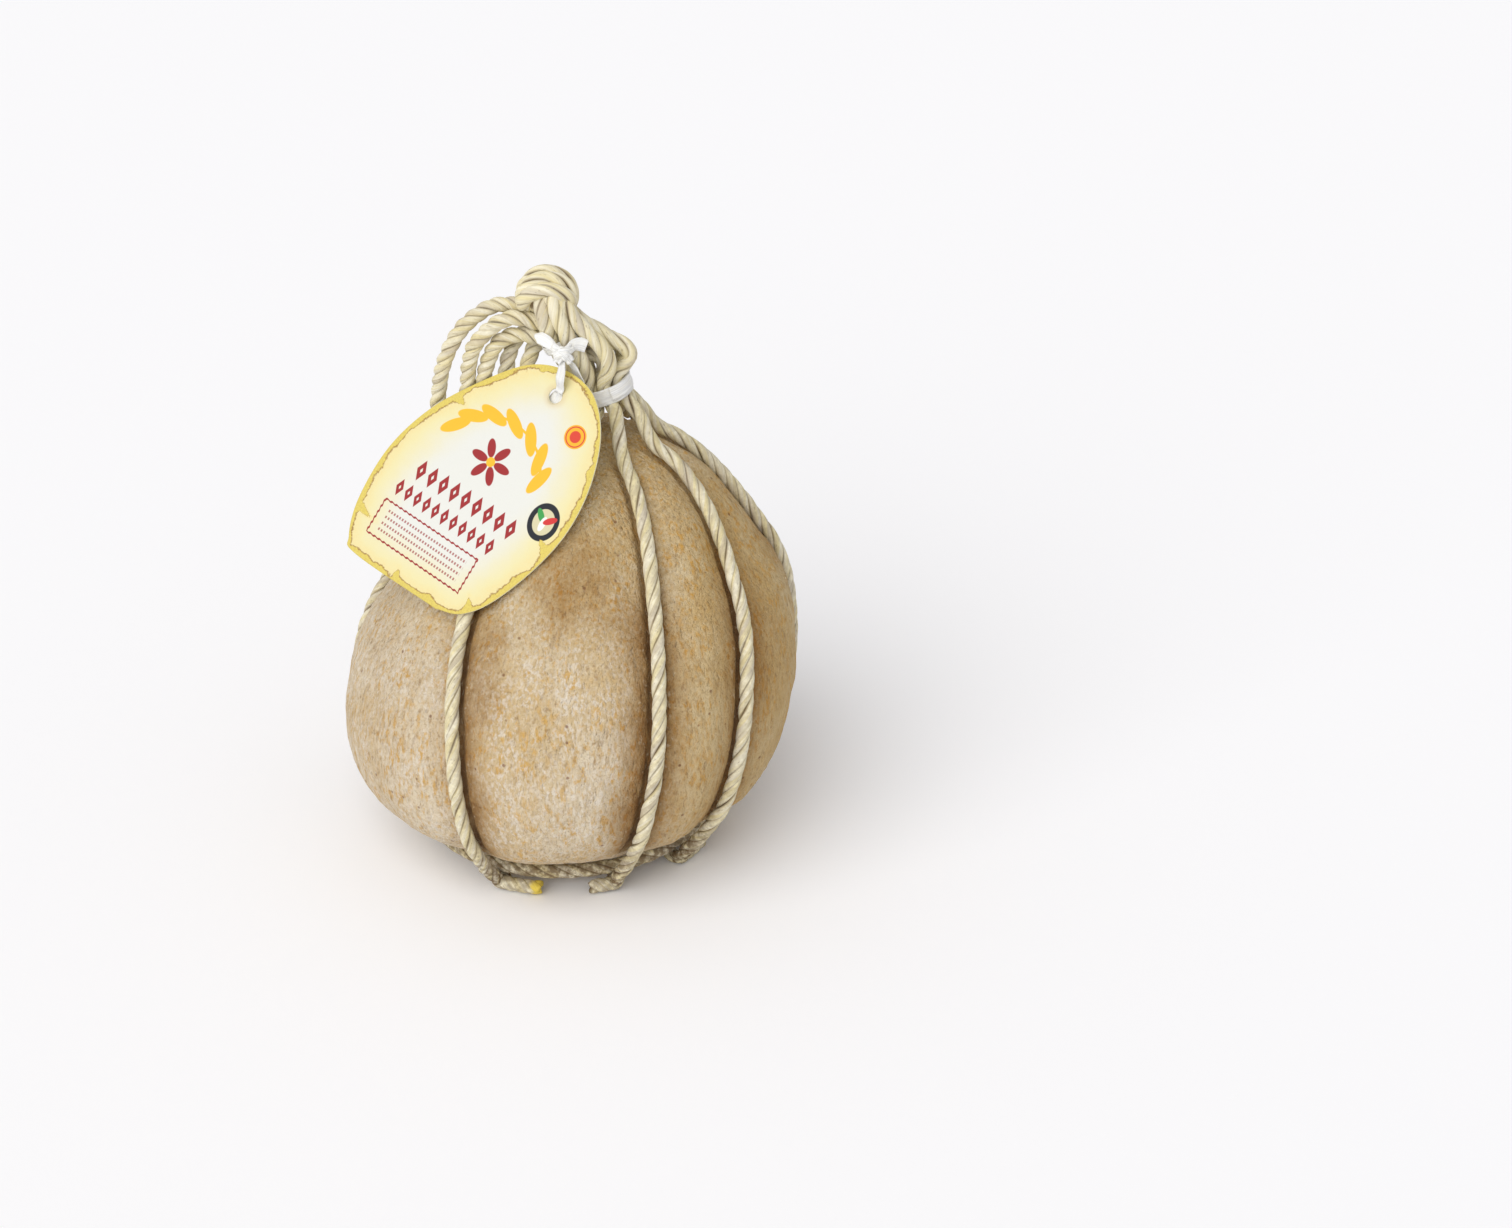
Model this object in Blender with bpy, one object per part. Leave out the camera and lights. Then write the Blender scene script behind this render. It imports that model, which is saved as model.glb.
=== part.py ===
"""A pear-shaped stretched-curd cheese that hangs in a rope net, here standing on its own small foot.

Metres, +Z up. The origin is on the standing surface, under the middle of the cheese's girth, and
-Y is the side that the tag faces. Azimuths are in degrees from -Y, turning towards +X. The cheese
is one solid. Seven ropes run over it in grooves, from a rope ring under the belly, through a tie
band at the neck, to the top knot, and two hanging loops and a spare end come out of that knot.
"""

import math

import bmesh
import bpy
import numpy as np
from mathutils import Matrix, Vector

MM = 0.001

# Cheese: the ridge line between two ropes as (radius, height) in millimetres, foot rim to tip.
RIDGE_LINE = (
    (36.0, 0.0), (40.2, 1.0), (44.4, 4.0), (47.6, 8.0), (51.6, 11.8), (57.5, 14.8), (63.0, 17.0),
    (68.6, 20.0), (74.4, 24.0), (79.7, 29.2), (83.7, 36.0), (86.5, 44.0), (88.1, 53.0), (88.9, 62.0),
    (88.4, 73.0), (86.4, 84.5), (82.3, 98.0), (75.0, 114.0), (64.0, 130.0), (52.5, 146.0),
    (42.5, 157.5), (32.5, 166.0), (21.5, 171.8), (10.5, 175.0), (0.0, 176.0),
)
# How far the cheese's axis stands to the right of the origin, as (height, shift) in millimetres.
AXIS_LEAN = ((0.0, -2.0), (40.0, -2.2), (80.0, 2.9), (120.0, 11.0), (160.0, 13.2), (190.0, 14.0))
ROWS = 24
ROW_GRADE = 1.3
COLUMNS_PER_ROPE = 8
GROOVE_DEPTH = 4.2 * MM
GROOVE_WIDTH = 4.6 * MM
GROOVE_COLUMNS = (0.0, 3.0 * MM, 6.2 * MM, 11.0 * MM)
GROOVE_STARTS = 18.0 * MM
GROOVE_IS_FULL = 29.0 * MM
FULL_GROOVE_RADIUS = 35.0 * MM
LOBE_BULGE = 1.2 * MM

# Rope
ROPE_RADIUS = 2.8 * MM
ROPE_SIDES = 2
ROPE_SAG = 0.3 * MM
LONGEST_STEP = 14.0 * MM
GAP = 0.4 * MM
ROPE_LIFT = 3.95 * MM

# Azimuth of each net rope where it stands at these heights.
AZIMUTH_HEIGHTS = (6.0, 16.0, 38.0, 80.0, 120.0, 165.0)
NET_AZIMUTHS = {
    "front_left": (-24.0, -23.6, -22.9, -28.8, -40.0, -53.0),
    "front_right": (21.0, 21.6, 23.2, 23.9, 22.2, 27.0),
    "right_front": (50.0, 50.0, 50.0, 51.0, 54.5, 68.0),
    "right_back": (98.0, 98.5, 99.0, 100.0, 102.0, 108.0),
    "back_right": (151.0, 150.5, 150.0, 149.0, 149.0, 154.0),
    "back_left": (203.0, 202.5, 202.0, 200.0, 200.0, 203.0),
    "left": (258.0, 257.5, 257.0, 256.0, 254.0, 252.0),
}
# The route of each net rope above the tie band, to its end under the top knot, in millimetres.
ABOVE_BAND = {
    "front_left": ((11.3, -6.1, 198.6), (9.3, -7.4, 205.0), (5.6, -8.2, 212.5), (2.0, -8.6, 221.6)),
    "front_right": ((19.4, -7.6, 202.0), (18.0, -7.4, 209.2), (11.8, -7.0, 216.2), (7.6, -6.4, 221.4)),
    "right_front": (
        (24.9, -1.2, 200.9), (27.2, -0.8, 204.6), (25.0, -0.6, 208.4), (18.6, -0.6, 212.0),
        (12.2, -0.2, 215.8), (8.0, 0.0, 219.6),
    ),
    "right_back": (
        (24.2, 6.6, 201.6), (21.6, 7.2, 206.4), (15.2, 6.8, 211.0), (8.6, 6.4, 215.4), (4.8, 6.2, 219.6),
    ),
    "back_right": ((14.6, 8.8, 202.0), (8.2, 10.4, 209.5), (1.8, 10.8, 215.6), (-1.6, 9.8, 221.0)),
    "back_left": ((8.8, 6.8, 200.5), (3.4, 6.8, 206.5), (-1.6, 5.0, 213.0), (-3.0, 2.8, 220.8)),
    "left": ((6.6, -1.0, 197.6), (2.4, -3.0, 203.8), (-1.6, -4.4, 211.2), (-3.8, -5.4, 221.6)),
}

# Tie band round the neck
BAND_CENTRE = Vector((17.4, 0.0, 191.0)) * MM
BAND_TILT = math.radians(-18.0)
BAND_HEIGHT = 6.2 * MM
BAND_THICKNESS = 0.7 * MM
BAND_SLACK = 1.9 * MM
BAND_SIDES = 28
FIRST_SLOT = -40.0
SLOT_RADIUS = (2.0 * ROPE_RADIUS + GAP) / (2.0 * math.sin(math.pi / len(NET_AZIMUTHS)))
SLOT_HALF_LENGTH = 4.5 * MM
GATHER_DROP = 7.5 * MM
GATHER_RADIUS = 12.2 * MM
LOW_SIDE_DROP = 7.4 * MM  # how much lower, and closer in, the ropes spread on the band's low side
LOW_SIDE_DRAW_IN = 2.4 * MM
TOP_OF_GROOVED_RUN = 171.0 * MM

# Base ring, with the hooks and cut ends of the net ropes
RING_RADIUS = 57.0 * MM
RING_HEIGHT = 9.2 * MM
RING_POINTS = 36
HOOK_RADIUS = 2.0 * ROPE_RADIUS + GAP
HOOK_ANGLES = (-22.0, 0.0, 32.0, 62.0)
HOOK_EXIT = ((64.6, 9.6), (67.6, 13.0))
CUT_END_HEIGHT = 3.6 * MM
CUT_END_RADIUS = 60.4 * MM
CUT_ENDS = {  # azimuth from the hook to where the end starts and stops
    "front_left": (3.3, 16.5),
    "front_right": (-3.3, -9.5),
    "right_front": (3.3, 14.0),
    "right_back": (-3.3, -16.0),
    "back_right": (3.3, 15.0),
    "back_left": (-3.3, -13.0),
    "left": (3.3, 16.0),
}

# Top knot: upright turns of rope over a core
KNOT_CORE = (Vector((-3.1, 0.0, 228.8)) * MM, 8.2 * MM)
KNOT_TURNS = (  # centre in millimetres, radius of the turn, lean in degrees
    ((-3.0, -4.5, 228.0), 7.6, 24.0),
    ((-3.2, 0.0, 229.2), 8.7, 18.0),
    ((-3.0, 4.5, 228.2), 7.4, 8.0),
)
KNOT_ROPE_RADIUS = 3.1 * MM
KNOT_SQUASH = 0.4
TURN_SEGMENTS = 20
TURN_SIDES = 8

# Free rope from the knot, in millimetres
OUTER_LOOP = (
    (-11.0, 1.8, 219.8), (-15.4, 1.2, 223.2), (-20.0, 1.0, 224.4), (-26.0, 0.8, 222.8),
    (-34.6, 0.0, 216.2), (-40.6, 0.0, 207.0), (-44.2, 1.4, 197.0), (-46.0, 4.2, 187.0),
    (-47.5, 3.6, 176.0), (-49.0, 0.6, 163.0), (-47.0, -5.0, 154.0), (-42.0, -11.6, 150.4),
    (-35.0, -16.8, 154.0), (-28.0, -18.0, 162.4), (-22.0, -14.4, 171.5), (-17.0, -9.0, 181.5),
    (-13.6, -3.6, 192.0), (-11.4, -0.4, 201.0), (-10.2, 1.6, 206.4), (-7.4, 3.4, 209.2),
)
INNER_LOOP = (
    (-9.4, -4.8, 218.4), (-13.0, -4.8, 221.0), (-17.5, -4.6, 222.0), (-25.7, -4.2, 216.4),
    (-31.2, -3.4, 208.8), (-33.8, -0.8, 199.0), (-34.8, 1.6, 189.5), (-37.4, 3.4, 180.5),
    (-39.8, 4.2, 172.0), (-38.8, 2.6, 165.2), (-34.4, -1.6, 161.6), (-29.0, -6.2, 163.6),
    (-24.4, -7.4, 170.0), (-21.8, -5.0, 178.6), (-20.8, -1.6, 188.0), (-19.8, 1.0, 197.5),
    (-18.0, 2.4, 205.5), (-15.2, 3.6, 210.6), (-12.0, 4.6, 213.6), (-8.4, 5.2, 214.8),
)
SPARE_END = (
    (-9.6, -3.0, 212.4), (-13.0, -3.2, 214.4), (-16.8, -3.0, 214.6), (-21.0, -2.8, 211.8),
    (-24.8, -2.0, 206.2), (-27.4, -0.4, 198.8), (-28.6, 0.0, 190.6), (-28.8, -1.4, 182.0),
)
NECK_BIGHT = ((16.2, -0.4, 194.0), (17.2, -0.8, 200.5), (14.4, -1.0, 204.8), (10.6, -0.6, 204.4))

# Tag: a leaning card, its outline in its own plane in millimetres, from the bottom edge's right end
TAG_FACES = (-25.8, 35.1)
TAG_TURN = math.radians(-18.3)
TAG_CENTRE = Vector((-28.8, -29.0, 162.0)) * MM
TAG_THICKNESS = 0.8 * MM
TAG_OUTLINE = (
    (10.0, -46.4), (20.0, -42.8), (28.5, -32.8), (36.5, -14.0), (40.4, 5.0), (38.6, 24.0),
    (31.5, 41.5), (20.0, 52.8), (5.0, 55.0), (-10.0, 49.0), (-24.7, 32.7), (-36.5, 14.5),
    (-43.0, -6.0), (-42.8, -28.0), (-38.0, -42.0), (-31.0, -46.4),
)
TAG_STEPS = 3
TAG_HOLE = (7.0, 45.0)
TAG_HOLE_RADIUS = 2.6 * MM
TAG_HOLE_SIDES = 20

# Plastic ribbon that ties the tag to two of the strands
RIBBON_WIDTH = 3.6 * MM
RIBBON_THICKNESS = 0.7 * MM
WRAP_CENTRE = Vector((2.0, -6.55, 211.3)) * MM
WRAP_AXIS = Vector((0.45, 0.13, -0.88))
WRAP_ALONG = Vector((0.89, -0.45, 0.0))
WRAP_HALF_SPAN = 4.5 * MM
WRAP_RADIUS = 3.7 * MM
WRAP_SIDES = 24
RIBBON_KNOT = Vector((3.2, -14.1, 207.6)) * MM
RIBBON_KNOT_RADII = (3.3 * MM, 2.4 * MM, 3.0 * MM)
TAIL_TO_HOLE = ((2.9, -15.8, 203.6), (1.8, -17.9, 200.0), (0.6, -19.0, 197.6))
TAIL_BEHIND = ((5.8, -12.6, 203.9), (7.6, -11.6, 200.6), (8.8, -11.0, 197.4))


def clear_scene():
    for thing in list(bpy.data.objects):
        bpy.data.objects.remove(thing, do_unlink=True)


def material(name, colour, roughness, metallic=0.0):
    made = bpy.data.materials.new(name)
    made.use_nodes = True
    shader = made.node_tree.nodes["Principled BSDF"]
    shader.inputs["Base Color"].default_value = (*colour, 1.0)
    shader.inputs["Roughness"].default_value = roughness
    shader.inputs["Metallic"].default_value = metallic
    return made


def link(name, data, finish):
    thing = bpy.data.objects.new(name, data)
    data.materials.append(finish)
    bpy.context.scene.collection.objects.link(thing)
    return thing


def mesh_object(name, bm, finish, smooth=True):
    bmesh.ops.recalc_face_normals(bm, faces=bm.faces)
    mesh = bpy.data.meshes.new(name)
    bm.to_mesh(mesh)
    bm.free()
    thing = link(name, mesh, finish)
    if smooth:
        mesh.shade_smooth()
        mesh.set_sharp_from_angle(angle=math.radians(50.0))
    return thing


def spline(points, steps=16):
    """A Catmull-Rom curve through the points, as a fine array of points."""
    inner = np.array(points, float)
    knots = np.vstack([2 * inner[0] - inner[1], inner, 2 * inner[-1] - inner[-2]])
    t = np.linspace(0.0, 1.0, steps, endpoint=False)[:, None]
    curve = []
    for a, b, c, d in zip(knots, knots[1:], knots[2:], knots[3:]):
        bend = 2 * a - 5 * b + 4 * c - d
        twist = 3 * b - a - 3 * c + d
        curve.append(0.5 * (2 * b + (c - a) * t + bend * t**2 + twist * t**3))
    return np.vstack([*curve, inner[-1]])


def thinned(curve):
    """The curve's points that a rope needs: far apart where it is straight, close where it bends."""
    kept = [curve[0]]
    run = 0.0
    turned = 0.0
    for before, here, after in zip(curve, curve[1:], curve[2:]):
        step = here - before
        ahead = after - here
        run += np.linalg.norm(step)
        cosine = np.dot(step, ahead) / (np.linalg.norm(step) * np.linalg.norm(ahead))
        turned += math.acos(min(1.0, cosine))
        if run * turned / 8.0 > ROPE_SAG or run > LONGEST_STEP:
            kept.append(here)
            run = 0.0
            turned = 0.0
    if np.linalg.norm(kept[-1] - curve[-1]) < ROPE_RADIUS:
        kept.pop()
    return [*kept, curve[-1]]


def rope(name, points, finish, closed=False):
    """A round rope along the points, with flat ends."""
    curve = bpy.data.curves.new(name, "CURVE")
    curve.dimensions = "3D"
    curve.bevel_depth = ROPE_RADIUS
    curve.bevel_resolution = ROPE_SIDES
    curve.use_fill_caps = not closed
    run = curve.splines.new("POLY")
    run.points.add(len(points) - 1)
    for place, point in zip(run.points, points):
        place.co = (*point, 1.0)
    run.use_cyclic_u = closed
    return link(name, curve, finish)


class Ridge:
    """The outline of the cheese between its ropes, measured from the foot's rim, 0, to the tip, 1."""

    def __init__(self):
        self.line = spline(RIDGE_LINE) * MM
        steps = np.linalg.norm(np.diff(self.line, axis=0), axis=1)
        self.runs = np.concatenate([[0.0], np.cumsum(steps)])
        self.runs /= self.runs[-1]
        along = np.gradient(self.line, self.runs, axis=0)
        along /= np.linalg.norm(along, axis=1)[:, None]
        self.outward = np.column_stack([along[:, 1], -along[:, 0]])

    def at(self, share):
        """(radius, height, outward radius part, outward height part) at this share of the outline."""
        columns = (self.line[:, 0], self.line[:, 1], self.outward[:, 0], self.outward[:, 1])
        return [float(np.interp(share, self.runs, column)) for column in columns]

    def share_at_height(self, height):
        return float(np.interp(height, self.line[:, 1], self.runs))


RIDGE = Ridge()
LEAN = spline(AXIS_LEAN) * MM
ROPE_NAMES = tuple(NET_AZIMUTHS)
AZIMUTH_CURVES = {
    name: spline(tuple(zip(AZIMUTH_HEIGHTS, azimuths))) for name, azimuths in NET_AZIMUTHS.items()
}


def lean_at(height):
    return float(np.interp(height, LEAN[:, 0], LEAN[:, 1]))


def rope_azimuth(name, height):
    curve = AZIMUTH_CURVES[name]
    return math.radians(float(np.interp(height / MM, curve[:, 0], curve[:, 1])))


def around(radius, azimuth, height):
    """The point at this radius and azimuth from the cheese's own axis."""
    return Vector((
        lean_at(height) + radius * math.sin(azimuth),
        -radius * math.cos(azimuth),
        height,
    ))


def groove_depth(radius, height):
    rise = min(1.0, max(0.0, (height - GROOVE_STARTS) / (GROOVE_IS_FULL - GROOVE_STARTS)))
    return GROOVE_DEPTH * rise * rise * (3.0 - 2.0 * rise) * min(1.0, radius / FULL_GROOVE_RADIUS)


def rind_point(column, row):
    """Where one point of the cheese's grid lies, its columns bunched along the grooves."""
    if row == 0:
        return Vector((lean_at(0.0), 0.0, 0.0))
    radius, height, out_radius, out_height = RIDGE.at(((row - 1) / (ROWS - 1)) ** ROW_GRADE)
    sector, place = divmod(column, COLUMNS_PER_ROPE)
    first = rope_azimuth(ROPE_NAMES[sector], height)
    second = rope_azimuth(ROPE_NAMES[(sector + 1) % len(ROPE_NAMES)], height)
    width = (second - first) % math.tau
    half = COLUMNS_PER_ROPE // 2
    near = min(place, COLUMNS_PER_ROPE - place)
    share = near / half * width / 2.0
    if near < half and radius > 0.0:
        share = min(share, GROOVE_COLUMNS[near] / radius)
    azimuth = first + (share if place <= half else width - share)
    left = radius * (azimuth - first) / GROOVE_WIDTH
    right = radius * (first + width - azimuth) / GROOVE_WIDTH
    groove = min(1.0, math.exp(-(left**2)) + math.exp(-(right**2)))
    deep = groove_depth(radius, height)
    bulge = LOBE_BULGE * math.sin(math.pi * (azimuth - first) / width) * deep / GROOVE_DEPTH
    offset = bulge - deep * groove
    return around(radius, azimuth, height) + offset * Vector((
        out_radius * math.sin(azimuth),
        -out_radius * math.cos(azimuth),
        out_height,
    ))


def cheese(finish):
    """A sphere's grid laid over the cheese: its lower pole is the middle of the foot."""
    columns = COLUMNS_PER_ROPE * len(ROPE_NAMES)
    bm = bmesh.new()
    bmesh.ops.create_uvsphere(bm, u_segments=columns, v_segments=ROWS, radius=1.0)
    for vert in bm.verts:
        row = round((0.5 + math.asin(max(-1.0, min(1.0, vert.co.z))) / math.pi) * ROWS)
        turn = math.atan2(vert.co.y, vert.co.x) % math.tau
        column = round(turn / math.tau * columns) % columns
        vert.co = rind_point(column, row)
    return mesh_object("cheese", bm, finish)


def band_axes():
    tilt = Matrix.Rotation(BAND_TILT, 3, "Y")
    return tilt @ Vector((1, 0, 0)), tilt @ Vector((0, 1, 0)), tilt @ Vector((0, 0, 1))


def slot_angle(index):
    return math.radians(FIRST_SLOT) + index * math.tau / len(ROPE_NAMES)


def slot(index, radius, rise):
    """Where a net rope passes through the tie band, at this height above the band's middle."""
    across, deep, up = band_axes()
    angle = slot_angle(index)
    return BAND_CENTRE + radius * (math.sin(angle) * across - math.cos(angle) * deep) + rise * up


def hook_points(azimuth):
    """The rope's end, hooked under the base ring, and its way out from there to the belly."""
    for angle in HOOK_ANGLES:
        swing = math.radians(angle)
        radius = RING_RADIUS + HOOK_RADIUS * math.sin(swing)
        yield around(radius, azimuth, RING_HEIGHT - HOOK_RADIUS * math.cos(swing))
    for radius, height in HOOK_EXIT:
        yield around(radius * MM, azimuth, height * MM)


def net_rope_route(index, name):
    foot = rope_azimuth(name, 0.0)
    route = list(hook_points(foot))
    first = RIDGE.share_at_height(GROOVE_STARTS + 3.0 * MM)
    last = RIDGE.share_at_height(TOP_OF_GROOVED_RUN)
    for share in np.linspace(first, last, 16):
        radius, height, out_radius, out_height = RIDGE.at(share)
        azimuth = rope_azimuth(name, height)
        lift = ROPE_LIFT - groove_depth(radius, height)
        outward = Vector((out_radius * math.sin(azimuth), -out_radius * math.cos(azimuth), out_height))
        route.append(around(radius, azimuth, height) + lift * outward)
    low_side = max(0.0, math.sin(slot_angle(index))) ** 3
    spread = GATHER_RADIUS - low_side * LOW_SIDE_DRAW_IN
    route.append(slot(index, spread, -GATHER_DROP - low_side * LOW_SIDE_DROP))
    for rise in (-SLOT_HALF_LENGTH, 0.0, SLOT_HALF_LENGTH):
        route.append(slot(index, SLOT_RADIUS, rise))
    route += [Vector(point) * MM for point in ABOVE_BAND[name]]
    return route


def free_rope(name, points, finish):
    return rope(name, thinned(spline(points) * MM), finish)


def base_ring(finish):
    points = [
        around(RING_RADIUS, math.tau * step / RING_POINTS, RING_HEIGHT) for step in range(RING_POINTS)
    ]
    return rope("base_ring", points, finish, closed=True)


def cut_end(name, finish):
    """The short end that sticks out beside a net rope's hook, along the ring's outer side."""
    foot = rope_azimuth(name, 0.0)
    start, stop = CUT_ENDS[name]
    points = [
        around(CUT_END_RADIUS, foot + math.radians(angle), CUT_END_HEIGHT)
        for angle in np.linspace(start, stop, 4)
    ]
    return rope("cut_end_" + name, points, finish)


def ring_strip(name, outline, centre, axes, height, thickness, finish):
    """A closed strip of this height round an outline of (x, y) points, thickened outwards."""
    along, across, up = axes
    bm = bmesh.new()
    rows = []
    for rise in (-height / 2.0, height / 2.0):
        rows.append([bm.verts.new(centre + x * along + y * across + rise * up) for x, y in outline])
    for first in range(len(outline)):
        second = (first + 1) % len(outline)
        bm.faces.new((rows[0][first], rows[0][second], rows[1][second], rows[1][first]))
    bmesh.ops.recalc_face_normals(bm, faces=bm.faces)
    bmesh.ops.solidify(bm, geom=bm.faces[:], thickness=-thickness)
    return mesh_object(name, bm, finish)


def tie_band(finish):
    inner = SLOT_RADIUS + ROPE_RADIUS + BAND_SLACK
    angles = [math.tau * step / BAND_SIDES for step in range(BAND_SIDES)]
    outline = [(inner * math.cos(angle), inner * math.sin(angle)) for angle in angles]
    return ring_strip(
        "tie_band", outline, BAND_CENTRE, band_axes(), BAND_HEIGHT, BAND_THICKNESS, finish
    )


def ribbon_wrap(finish):
    """The ribbon's turn round two strands, a stadium seen along them."""
    up = WRAP_AXIS.normalized()
    across = up.cross(WRAP_ALONG).normalized()
    along = across.cross(up)
    outline = []
    for step in range(WRAP_SIDES):
        angle = math.tau * (step + 0.5) / WRAP_SIDES
        x = math.copysign(WRAP_HALF_SPAN, math.cos(angle)) + WRAP_RADIUS * math.cos(angle)
        outline.append((x, WRAP_RADIUS * math.sin(angle)))
    axes = (along, across, up)
    return ring_strip(
        "ribbon_wrap", outline, WRAP_CENTRE, axes, RIBBON_WIDTH, RIBBON_THICKNESS, finish
    )


def ribbon_knot(finish):
    bm = bmesh.new()
    bmesh.ops.create_uvsphere(bm, u_segments=12, v_segments=8, radius=1.0)
    bmesh.ops.scale(bm, vec=RIBBON_KNOT_RADII, verts=bm.verts)
    bmesh.ops.translate(bm, vec=RIBBON_KNOT, verts=bm.verts)
    return mesh_object("ribbon_knot", bm, finish)


def ribbon_tail(name, points, finish):
    """A flat strip along the points, its width across the tag's plane."""
    across, _, out = tag_axes()
    bm = bmesh.new()
    strip = []
    for point in spline(points, steps=3) * MM:
        middle = Vector(point)
        strip.append([
            bm.verts.new(middle - across * RIBBON_WIDTH / 2.0),
            bm.verts.new(middle + across * RIBBON_WIDTH / 2.0),
        ])
    for low, high in zip(strip, strip[1:]):
        bm.faces.new((low[0], low[1], high[1], high[0]))
    made = bmesh.ops.extrude_face_region(bm, geom=bm.faces[:])
    lifted = [part for part in made["geom"] if isinstance(part, bmesh.types.BMVert)]
    bmesh.ops.translate(bm, vec=out * RIBBON_THICKNESS, verts=lifted)
    return mesh_object(name, bm, finish)


def tag_axes():
    """Right and up along the turned card, and the way that it faces."""
    azimuth, rise = (math.radians(angle) for angle in TAG_FACES)
    flat = math.cos(rise)
    out = Vector((flat * math.sin(azimuth), -flat * math.cos(azimuth), math.sin(rise)))
    level = Vector((math.cos(azimuth), math.sin(azimuth), 0.0))
    turn = Matrix.Rotation(TAG_TURN, 3, out)
    return turn @ level, turn @ out.cross(level), out


def tag_place(x, y, z):
    right, up, out = tag_axes()
    return TAG_CENTRE + x * right + y * up + z * out


def tag(finish):
    """The card, extruded from its outline, with the ribbon's hole cut through it."""
    bm = bmesh.new()
    outline = [
        bm.verts.new(tag_place(x, y, -TAG_THICKNESS / 2.0))
        for x, y in (spline(TAG_OUTLINE, TAG_STEPS) * MM).tolist()
    ]
    face = bm.faces.new(outline)
    made = bmesh.ops.extrude_face_region(bm, geom=[face])
    lifted = [part for part in made["geom"] if isinstance(part, bmesh.types.BMVert)]
    bmesh.ops.translate(bm, vec=tag_axes()[2] * TAG_THICKNESS, verts=lifted)
    card = mesh_object("tag", bm, finish, smooth=False)
    cutter = bmesh.new()
    bmesh.ops.create_cone(
        cutter, cap_ends=True, segments=TAG_HOLE_SIDES, radius1=TAG_HOLE_RADIUS,
        radius2=TAG_HOLE_RADIUS, depth=10.0 * TAG_THICKNESS,
    )
    right, up, out = tag_axes()
    turn = Matrix((right, up, out)).transposed().to_4x4()
    centre = tag_place(TAG_HOLE[0] * MM, TAG_HOLE[1] * MM, 0.0)
    bmesh.ops.transform(cutter, matrix=Matrix.Translation(centre) @ turn, verts=cutter.verts)
    punch = mesh_object("tag_hole_cutter", cutter, finish, smooth=False)
    punch.hide_render = True
    punch.display_type = "WIRE"
    cut = card.modifiers.new("hole", "BOOLEAN")
    cut.operation = "DIFFERENCE"
    cut.object = punch
    return card


def squashed(bm, middle):
    """The lower half of a turn pulled up, because the turns are open over the strands."""
    for vert in bm.verts:
        if vert.co.z < middle:
            vert.co.z = middle + (vert.co.z - middle) * KNOT_SQUASH


def knot_turn(name, centre, radius, lean, finish):
    """One upright turn of rope: a circle spun about the turn's axis."""
    bm = bmesh.new()
    bmesh.ops.create_circle(bm, segments=TURN_SIDES, radius=KNOT_ROPE_RADIUS)
    bmesh.ops.translate(bm, vec=(radius * MM, 0.0, 0.0), verts=bm.verts)
    bmesh.ops.spin(
        bm, geom=bm.verts[:] + bm.edges[:], cent=(0, 0, 0), axis=(0, 1, 0), angle=math.tau,
        steps=TURN_SEGMENTS, use_merge=True,
    )
    bmesh.ops.rotate(bm, matrix=Matrix.Rotation(math.radians(-lean), 3, "X"), verts=bm.verts)
    bmesh.ops.translate(bm, vec=Vector(centre) * MM, verts=bm.verts)
    squashed(bm, centre[2] * MM)
    turn = mesh_object(name, bm, finish)
    turn.hide_render = True
    turn.display_type = "WIRE"
    return turn


def top_knot(finish):
    centre, radius = KNOT_CORE
    bm = bmesh.new()
    bmesh.ops.create_icosphere(bm, subdivisions=2, radius=radius)
    bmesh.ops.translate(bm, vec=centre, verts=bm.verts)
    squashed(bm, centre.z)
    knot = mesh_object("top_knot", bm, finish)
    for index, (middle, turn_radius, lean) in enumerate(KNOT_TURNS):
        turn = knot_turn(f"knot_turn_{index}", middle, turn_radius, lean, finish)
        join = knot.modifiers.new(f"turn_{index}", "BOOLEAN")
        join.operation = "UNION"
        join.object = turn
    return knot


def main():
    clear_scene()
    rind = material("rind", (0.56, 0.42, 0.27), 0.75)
    hemp = material("rope", (0.74, 0.66, 0.46), 0.85)
    card = material("card", (0.90, 0.87, 0.66), 0.55)
    plastic = material("plastic_ribbon", (0.86, 0.86, 0.84), 0.35)
    cheese(rind)
    base_ring(hemp)
    for index, name in enumerate(ROPE_NAMES):
        route = [tuple(point / MM) for point in net_rope_route(index, name)]
        free_rope("net_rope_" + name, route, hemp)
        cut_end(name, hemp)
    free_rope("neck_bight", NECK_BIGHT, hemp)
    top_knot(hemp)
    free_rope("hanging_loop_outer", OUTER_LOOP, hemp)
    free_rope("hanging_loop_inner", INNER_LOOP, hemp)
    free_rope("spare_rope_end", SPARE_END, hemp)
    tie_band(plastic)
    ribbon_wrap(plastic)
    ribbon_knot(plastic)
    ribbon_tail("ribbon_tail_to_hole", TAIL_TO_HOLE, plastic)
    ribbon_tail("ribbon_tail_behind", TAIL_BEHIND, plastic)
    tag(card)


main()
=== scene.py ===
"""The look of a pear-shaped cheese in its rope net: rind, laid ropes, top knot, loops, ribbon, tag."""

import math

import bmesh
import bpy
import numpy as np
from mathutils import Matrix, Vector, noise


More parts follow.
